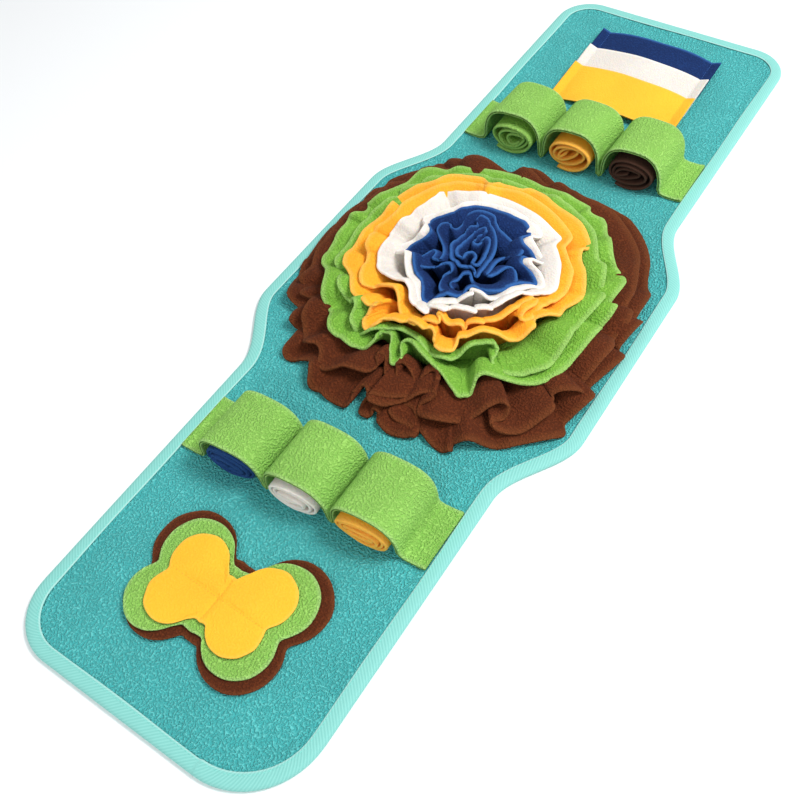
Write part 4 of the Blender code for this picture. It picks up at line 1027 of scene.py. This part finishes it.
def curl_grid(curl):
    """Middle points of one winding strip of the heart."""
    rows = [(t.across, ROSE_Y + t.along, curl.edge_height + t.lift) for t in curl.turns]
    edge = closed_spline(rows, COARSE)
    root = calmed(edge, 3)
    middle = np.array([0.0, ROSE_Y + curl.root_y])
    root = np.column_stack([middle + (root[:, :2] - middle) * curl.root_scale,
                            np.full(len(root), BASE_THICK + 2.0 * GAP)])
    return gathered_strip(rows, root, 0.0, CURL_FLUTE, curl.seed, CURL_PINCH, CURL_MARGIN)


for curl in CURLS:
    grid = curl_grid(curl)
    strip = cloth_piece(curl.name, grid, RING_THICK, CLOTH["blue_fleece"], [curl.node], closed=True)

# %% [markdown]
# ## Strap rows
# Two broad green strips are sewn to the mat at their ends and between their loops, and each loop
# holds a roll. The strip is doubled, so its front edge shows two plies with a groove between them,
# darkened by painted shade. A loop stands on two tight valleys where the machine went over it; the
# cloth puckers there.

# %% Straps with three loops
Loop = namedtuple("Loop", "middle half front_height back_height")
Strap = namedtuple("Strap", "name node along slant loops")
STRAPS = [
    Strap("near_strap", "strap_near", -223.0, 0.052,
          table(Loop, [(-62.0, 31.0, 42.5, 41.0), (1.0, 30.0, 43.5, 43.0),
                       (63.5, 30.0, 43.5, 43.0)])),
    Strap("far_strap", "strap_far", 220.0, 0.048,
          table(Loop, [(-62.0, 31.0, 48.0, 43.0), (1.0, 30.0, 48.5, 42.5),
                       (63.5, 30.0, 47.0, 43.0)])),
]
STRAP_THICK, STRAP_WIDTH, TAB_END = 3.2, 54.0, 115.7
STRAP_SEAT = BASE_THICK + GAP + STRAP_THICK / 2.0
LOOP_STEPS, TAB_STEPS = 40, (0, 2, 4.5, 7, 11, 16)
VALLEYS = (-97.0, -31.0, 32.5, 97.0)
STRAP_SEAMS = (-113.0, -30.5, 32.0, 113.0)


def loop_points(loop, share):
    """One loop as a rounded arch; share runs from the front edge to the back edge."""
    height = loop.front_height + (loop.back_height - loop.front_height) * share
    rise = height - STRAP_THICK / 2.0 - STRAP_SEAT
    half = loop.half - 1.0
    turns = np.linspace(math.pi, 0.0, LOOP_STEPS)
    side, up = np.cos(turns), np.abs(np.sin(turns))
    return [(loop.middle + half * math.copysign(abs(c) ** 0.66, c), STRAP_SEAT + rise * u ** 0.68)
            for c, u in zip(side, up)]


def strap_line(strap, share):
    """The strap's middle line across the mat."""
    tab = [(-TAB_END + d, STRAP_SEAT + rim_lift(END_HALF_WIDTH - TAB_END + d)) for d in TAB_STEPS]
    line = list(tab)
    for number, loop in enumerate(strap.loops):
        line += loop_points(loop, share)
        if number < 2:
            after = strap.loops[number + 1]
            line.append(((loop.middle + loop.half + after.middle - after.half) / 2.0, STRAP_SEAT))
    line += [(-x, z) for x, z in reversed(tab)]
    line = np.array(line)
    eased = line.copy()
    eased[1:-1] = (line[:-2] + 2.0 * line[1:-1] + line[2:]) / 4.0
    return eased


def strap_grid(strap):
    """Middle points of a strap, with small puckers by its sewn valleys and slack in its arches."""
    shares = np.linspace(0.0, 1.0, 25)
    lines = []
    for share in shares:
        line = strap_line(strap, share)
        edge = abs(share - 0.5) * 2.0
        y = strap.along + strap.slant * line[:, 0] + (share - 0.5) * STRAP_WIDTH
        height = (line[:, 1] - STRAP_SEAT) / 40.0
        bow = 1.3 * height * math.copysign(edge ** 3, share - 0.5)
        pucker = sum(np.exp(-((line[:, 0] - foot) / 7.0) ** 2) for foot in VALLEYS)
        sway = 0.45 * np.sin(share * 21.0 + line[:, 0] / 13.0) * pucker * height
        slack = 0.35 * np.sin(line[:, 0] / 9.0 + share * 3.0) * height
        lines.append(np.stack([line[:, 0] + sway, y + bow, line[:, 1] + slack], axis=1))
    return np.stack(lines, axis=1)


for strap in STRAPS:
    grid = strap_grid(strap)
    # the doubled strap also gets a painted shade line between its plies
    band = cloth_piece(strap.name, grid, STRAP_THICK, CLOTH["lime_fleece"], [strap.node], plies=2)
    seams = []
    for number, x in enumerate(STRAP_SEAMS):
        row = grid[np.abs(grid[:, 12, 0] - x).argmin()]
        path = [(tuple(p + np.array([0.0, 0.0, STRAP_THICK / 2.0])), UP) for p in row[1:-1]]
        seams.append(stitch_row(f"{strap.name}_stitches_{number}", path, "lime",
                                pitch=3.0, length=2.1))

# %% [markdown]
# ## Rolled strips
# Each loop holds a fleece strip rolled up by hand. A roll is a spiral: the further in, the smaller
# its half width and half height. The near rolls are squashed flat under tight loops. The far ones
# had room to stay round, so their hearts stay open and sit off centre. The turns don't end level,
# which is why the end of a roll looks like a stack of wavy edges. The hearts of the near rolls are
# pressed out of the ends; those of the far rolls sit back. The blue roll's nap is dark, so its
# cut edges get a weaker painted highlight than the other rolls'.

# %% Rolls
Roll = namedtuple("Roll", "name node cloth across along half_w half_h length turns core_w core_h "
                          "shift_x shift_z start tilt wobble seed hollow")
ROLLS = table(Roll, [
    ("near_blue_roll", "roll_near_blue", "blue_fleece", -61.5, -228.0, 25.4, 17.2, 59.0,
     4.2, 10.0, 1.6, -4.0, -0.5, -2.3, 0.0, 0.05, 41, -2.6),
    ("near_white_roll", "roll_near_white", "white_fleece", 1.2, -226.0, 24.6, 17.6, 62.0,
     3.7, 9.0, 2.0, -1.0, 0.5, -2.1, 0.15, 0.07, 42, -2.6),
    ("near_orange_roll", "roll_near_orange", "orange_fleece", 63.5, -222.5, 25.0, 17.6, 62.0,
     3.8, 11.0, 1.8, 0.5, -0.5, -1.6, 0.0, 0.07, 43, -2.6),
    ("far_green_roll", "roll_far_green", "green_fleece", -61.5, 213.5, 25.2, 17.8, 60.0,
     3.3, 7.5, 4.6, 5.0, -3.0, -2.2, 0.5, 0.10, 44, 2.2),
    ("far_orange_roll", "roll_far_orange", "orange_fleece", 1.2, 217.0, 24.6, 17.8, 60.0,
     3.2, 9.5, 2.4, -3.5, 2.0, -2.0, 0.8, 0.06, 45, 2.2),
    ("far_brown_roll", "roll_far_brown", "dark_brown_fleece", 63.5, 220.5, 25.0, 17.8, 58.0,
     3.2, 9.5, 3.0, -5.0, -1.5, -2.1, 0.35, 0.12, 46, 2.2),
])
ROLL_CLOTH, ROLL_FLOOR = 2.5, BASE_THICK + GAP
FULL_TURN, STEPS_PER_TURN = 6.283, 34
LEAST_WIDE, LEAST_HIGH = 1.6, 1.0


def roll_section(roll):
    """The spiral in the plane across the roll, from its loose end to its heart."""
    share = np.linspace(0.0, 1.0, int(STEPS_PER_TURN * roll.turns))
    turn = 2.0 * math.pi * (roll.start / FULL_TURN + roll.turns * share)
    wave = 1.0 + roll.wobble * share * np.sin(3.0 * turn + roll.seed) * (1.0 - 0.3 * share)
    wide = (roll.half_w + (roll.core_w - roll.half_w) * share) * wave - ROLL_CLOTH / 2.0
    high = (roll.half_h + (roll.core_h - roll.half_h) * share) * wave - ROLL_CLOTH / 2.0
    wide, high = np.maximum(wide, LEAST_WIDE), np.maximum(high, LEAST_HIGH)
    lean = roll.tilt * share ** 1.3
    x, z = wide * np.cos(turn - lean), high * np.sin(turn - lean)
    x, z = x * np.cos(lean) - z * np.sin(lean), x * np.sin(lean) + z * np.cos(lean)
    loose = np.clip(1.0 - share * roll.turns * 7.0, 0.0, 1.0)
    x = x + roll.shift_x * share ** 1.4
    z = z + roll.shift_z * share ** 1.4 - 0.3 * loose
    return np.stack([x, z], axis=1), share


def roll_grid(roll):
    """Middle points of a rolled strip."""
    section, share = roll_section(roll)
    centre_z = ROLL_FLOOR + roll.half_h
    columns = []
    wound = share * roll.turns
    uneven = 0.9 * np.sin(wound * 4.1 + roll.seed) + 0.5 * np.sin(wound * 13.0)
    recess = 0.7 + roll.hollow * share + max(0.0, -roll.hollow)
    for side in np.linspace(-0.5, 0.5, 11):
        by_end = math.copysign(1.0, side) * abs(2.0 * side) ** 6
        y = roll.along + side * roll.length + by_end * (uneven - recess)
        crush = 1.0 + 0.015 * np.sin(side * 5.0 + share * 9.0)
        columns.append(np.stack([roll.across + section[:, 0] * crush, y + 0.05 * section[:, 0],
                                 centre_z + section[:, 1] * crush], axis=1))
    return np.stack(columns, axis=1)


for roll in ROLLS:
    grid = roll_grid(roll)
    # the painted highlight on cut edges is weaker on the dark blue roll
    piece = cloth_piece(roll.name, grid, ROLL_CLOTH, CLOTH[roll.cloth], [roll.node], rim_points=4,
                        edge_light_share=0.4 if roll.cloth == "blue_fleece" else 0.8)

# %% [markdown]
# ## The butterfly
# Three flat cut-outs lie on each other at the near end. They are sewn down along a cross: down the
# body and across between the wings. A layer's edge is an oval body blended with four round lobes:
# each is raised to a high power, added up, and brought back by the root, which rounds the corners
# where they meet.

# %% Outlines of the butterfly
Wing = namedtuple("Wing", "deg reach rounding")
Layer = namedtuple("Layer", "name node cloth across along body_wide body_high wings")
BUTTERFLY_Y, BUTTERFLY_SEAM_Y = -346.0, -343.0
BUTTERFLY = [
    Layer("butterfly_low", "butterfly_brown", "brown_fleece", 0.0, BUTTERFLY_Y, 52.0, 34.0,
          table(Wing, [(32, 86, 33), (152, 82, 32.5), (209, 71, 31), (333, 74, 32)])),
    Layer("butterfly_mid", "butterfly_green", "lime_fleece", 0.0, BUTTERFLY_Y, 48.0, 28.0,
          table(Wing, [(32, 76, 29), (151, 72.5, 28.5), (207, 72, 27), (335, 65, 27.5)])),
    Layer("butterfly_top", "butterfly_yellow", "yellow_fleece", 0.0, BUTTERFLY_Y, 38.0, 19.5,
          table(Wing, [(34, 60, 23), (152, 57.5, 22.5), (207, 55, 21.5), (338, 49.5, 21.5)])),
]
MOTIF_THICK, BLEND, AROUND = 1.6, 20.0, 320
WING_FADE = 8.0


def wing_reach(wing, turn):
    """Distance from the middle to a wing's round end, fading out beside the wing."""
    off = turn - math.radians(wing.deg)
    ahead = math.cos(off)
    if ahead <= 0.0:
        return 0.0
    centre = wing.reach - wing.rounding
    side = abs(centre * math.sin(off))
    if side < wing.rounding:
        return centre * ahead + math.sqrt(wing.rounding ** 2 - side ** 2)
    return centre * ahead * math.exp(-((side - wing.rounding) / WING_FADE) ** 2)


def layer_reach(layer, turn):
    """Outline of one layer: its body and wings blended where they meet."""
    body = 1.0 / math.hypot(math.cos(turn) / layer.body_wide, math.sin(turn) / layer.body_high)
    total = body ** BLEND + sum(wing_reach(wing, turn) ** BLEND for wing in layer.wings)
    return total ** (1.0 / BLEND)


print("top layer's reach along its first wing:",
      round(layer_reach(BUTTERFLY[2], math.radians(BUTTERFLY[2].wings[0].deg)), 1), "mm")

# %% [markdown]
# The seam pulls all layers down together, the wings stay a little puffed, and the edges are loose
# and curl up slightly. The upper two layers curl more than the one that lies on the mat. Only the
# top layer shows its stitches.


# %% Butterfly layers
def seam_y(x):
    """The line of stitches across the butterfly, between its wings."""
    return BUTTERFLY_SEAM_Y - 0.0009 * x * x - 0.02 * x


def layer_grid(layer, order):
    """Middle points of one layer, round by round."""
    turns = 2.0 * math.pi * np.arange(AROUND) / AROUND
    place = turns / (2.0 * math.pi)
    reach = calmed(np.array([[layer_reach(layer, t)] for t in turns]), 2)[:, 0]
    reach = reach + 0.35 * wrinkle(60 + order, place, 5, (7, 30))
    shares = np.concatenate([[0.02], np.linspace(0.06, 1.0, 26)])
    span = reach[:, None] * shares[None, :]
    span[:, 0] = MOTIF_THICK / 2.0 + 0.05
    x = layer.across + span * np.cos(turns)[:, None]
    y = layer.along + span * np.sin(turns)[:, None]
    seat = BASE_THICK + GAP + order * (MOTIF_THICK + 2.0 * GAP) + MOTIF_THICK / 2.0
    curl = 1.5 * smooth_step((shares - 0.55) / 0.45)[None, :] * (0.5 + 0.2 * order)
    wave = 0.28 * wrinkle(70 + order, place, 4, (3, 9))[:, None] * shares[None, :] ** 3
    body = np.exp(-(np.abs(x - 0.02 * (y - BUTTERFLY_Y)) / 1.9) ** 1.3)
    across = np.exp(-(np.abs(y - seam_y(x)) / 1.7) ** 1.3)
    puff = 1.1 * (1.0 - np.maximum(body, across)) * (1.0 - 0.6 * shares[None, :] ** 4)
    return np.stack([x, y, seat - 0.2 + curl + wave + puff], axis=2)


def seam_stitches(name, grid, ends):
    """Stitches on a layer, along a straight line between two ends."""
    spots = grid.reshape(-1, 3)
    path = []
    for share in np.linspace(0.0, 1.0, 60):
        x = ends[0][0] + (ends[1][0] - ends[0][0]) * share
        y = ends[0][1] + (ends[1][1] - ends[0][1]) * share
        near = np.argsort((spots[:, 0] - x) ** 2 + (spots[:, 1] - y) ** 2)[:4]
        path.append(((x, y, spots[near, 2].mean() + MOTIF_THICK / 2.0 - 0.1), UP))
    return stitch_row(name, path, "gold", pitch=2.9, length=2.2, radius=0.2)


ACROSS_WINGS = ((-43.0, -344.0), (44.0, -345.5))
DOWN_BODY = ((-0.4, -365.0), (0.4, -327.0))
for order, layer in enumerate(BUTTERFLY):
    grid = layer_grid(layer, order)
    cut = cloth_piece(layer.name, grid, MOTIF_THICK - 0.15, CLOTH[layer.cloth], [layer.node],
                      closed=True, rim_points=4)
    seams = []
    if layer.name == "butterfly_top":
        seams = [seam_stitches("butterfly_stitches_across", grid, ACROSS_WINGS),
                 seam_stitches("butterfly_stitches_along", grid, DOWN_BODY)]

# %% [markdown]
# ## The striped pocket
# At the far end three strips overlap like roof tiles: blue, white, yellow. Each is sewn down near
# its ends, bulges between the seams so that a treat fits under it, and its loose ends stand up.
# The yellow strip's near edge is folded under; we see the fold's rounded, doubled edge.

# %% Pocket strips
Strip = namedtuple("Strip", "name node cloth near_edge far_edge near_bulge far_bulge")
STRIPS = table(Strip, [
    ("pocket_strip_blue", "pocket_blue", "blue_fleece", 344.0, 401.0, 4.5, 5.5),
    ("pocket_strip_white", "pocket_white", "white_fleece", 310.0, 369.0, 4.5, 5.0),
    ("pocket_strip_yellow", "pocket_yellow", "yellow_fleece", 279.5, 335.0, 6.5, 4.5),
])
STRIP_HALF, SEAM_AT, STRIP_TILT, END_RISE = 68.0, 59.0, 3.9, 3.4


def strip_rows(strip):
    """Middle points of a pocket strip."""
    seat = BASE_THICK + GAP + MOTIF_THICK / 2.0
    stations = np.concatenate([np.linspace(-STRIP_HALF, -SEAM_AT, 8)[:-1],
                               np.linspace(-SEAM_AT, SEAM_AT, 71),
                               np.linspace(SEAM_AT, STRIP_HALF, 8)[1:]])
    parts = np.linspace(0.0, 1.0, 22)
    x, part = np.meshgrid(stations, parts, indexing="ij")
    bulge = strip.near_bulge + (strip.far_bulge - strip.near_bulge) * part
    inside = np.abs(x) < SEAM_AT
    arch = np.where(inside, bulge * (1.0 - np.minimum(np.abs(x) / SEAM_AT, 1.0) ** 2.6),
                    END_RISE * (np.abs(x) - SEAM_AT) / (STRIP_HALF - SEAM_AT))
    bow = 1.5 * (1.0 - (x / SEAM_AT) ** 2) * (part - 0.5) * inside
    y = strip.near_edge + (strip.far_edge - strip.near_edge) * part + bow
    loose = 0.3 * np.sin(x / 11.0 + strip.near_edge) * np.abs(2.0 * part - 1.0) ** 2 * inside
    drape = 0.18 * np.sin(x / 7.0) * np.sin(part * 9.0 + 1.0)
    return np.stack([x, y, seat + STRIP_TILT * part + arch + loose + drape], axis=2)


for strip in STRIPS:
    grid = strip_rows(strip)
    # the doubled yellow edge also gets a painted shade line between its plies
    doubled = 2 if strip.node == "pocket_yellow" else 1
    flap = cloth_piece(strip.name, grid, MOTIF_THICK, CLOTH[strip.cloth], [strip.node],
                       plies=doubled)
    seams = []
    for side in (-1.0, 1.0):
        row = grid[np.abs(grid[:, 10, 0] - side * SEAM_AT).argmin()]
        path = [(tuple(p + np.array([0.0, 0.0, MOTIF_THICK / 2.0])), UP) for p in row]
        thread = {"blue_fleece": "blue", "white_fleece": "white"}.get(strip.cloth, "gold")
        name = f"{strip.name}_stitches_{'right' if side > 0 else 'left'}"
        seams.append(stitch_row(name, path, thread, pitch=2.8, length=2.0, radius=0.24))

# %% [markdown]
# ## Floor, light and camera
# The mat lies on a plain pale sweep. One large soft light stands high behind the right shoulder
# of the far end, so each fold throws a soft shadow to the near left; a weaker one fills from the
# camera's side, and a pale world lifts the shadows. The view transform is the plain one, because
# it keeps dyed colours as bright as they were picked.

# %% Floor and light
FLOOR_REACH = 6.0
floor_mesh = bpy.data.meshes.new("sweep")
corners = [(x * FLOOR_REACH, y * FLOOR_REACH, 0.0) for x, y in ((-1, -1), (1, -1), (1, 1), (-1, 1))]
floor_mesh.from_pydata(corners, [], [(0, 1, 2, 3)])
floor = add_object("sweep", floor_mesh)
paper, tree, shader = new_material("pale_paper")
shader.inputs["Base Color"].default_value = linear("#F7F8F8")
shader.inputs["Roughness"].default_value = 0.9
floor.data.materials.append(paper)


def soft_light(name, size, power, place, target):
    """A square area light that looks at a target."""
    data = bpy.data.lights.new(name, "AREA")
    data.shape = "SQUARE"
    data.size = size
    data.energy = power
    lamp = add_object(name, data)
    lamp.location = place
    lamp.rotation_euler = (Vector(target) - Vector(place)).to_track_quat("-Z", "Y").to_euler()
    return lamp


soft_light("key", 0.6, 29.0, (0.85, 0.50, 1.50), (0.0, 0.0, 0.0))
soft_light("fill", 1.4, 9.0, (0.10, -1.40, 1.15), (0.0, 0.0, 0.0))
world = bpy.data.worlds.new("pale_room")
bpy.context.scene.world = world
world.use_nodes = True
background = world.node_tree.nodes["Background"]
background.inputs["Color"].default_value = linear("#F4F7FA")
background.inputs["Strength"].default_value = 0.55
bpy.context.scene.view_settings.view_transform = "Standard"

# %% [markdown]
# The camera stands at the near right, about 0.65 m up, and looks down along the mat at a slant. It
# is set by its place, the way it looks and the way that is up in its frame. Two cross products
# square the three directions before they go into its matrix.

# %% Camera
CAMERA_AT = (0.3084, -0.4697, 0.6472)
CAMERA_LOOKS = (-0.374651, 0.436816, -0.817819)
CAMERA_UP = (-0.419514, 0.706742, 0.569671)
FOCAL_MM, SENSOR_MM = 42.381, 36.0
camera = add_object("camera", bpy.data.cameras.new("camera"))
look = Vector(CAMERA_LOOKS).normalized()
above = Vector(CAMERA_UP).normalized()
sideways = look.cross(above).normalized()
above = sideways.cross(look)
turn = Matrix((sideways, above, -look)).transposed().to_4x4()
camera.matrix_world = Matrix.Translation(CAMERA_AT) @ turn
camera.data.lens = FOCAL_MM
camera.data.sensor_width = SENSOR_MM
bpy.context.scene.camera = camera
print("camera at", [round(c, 3) for c in camera.location])
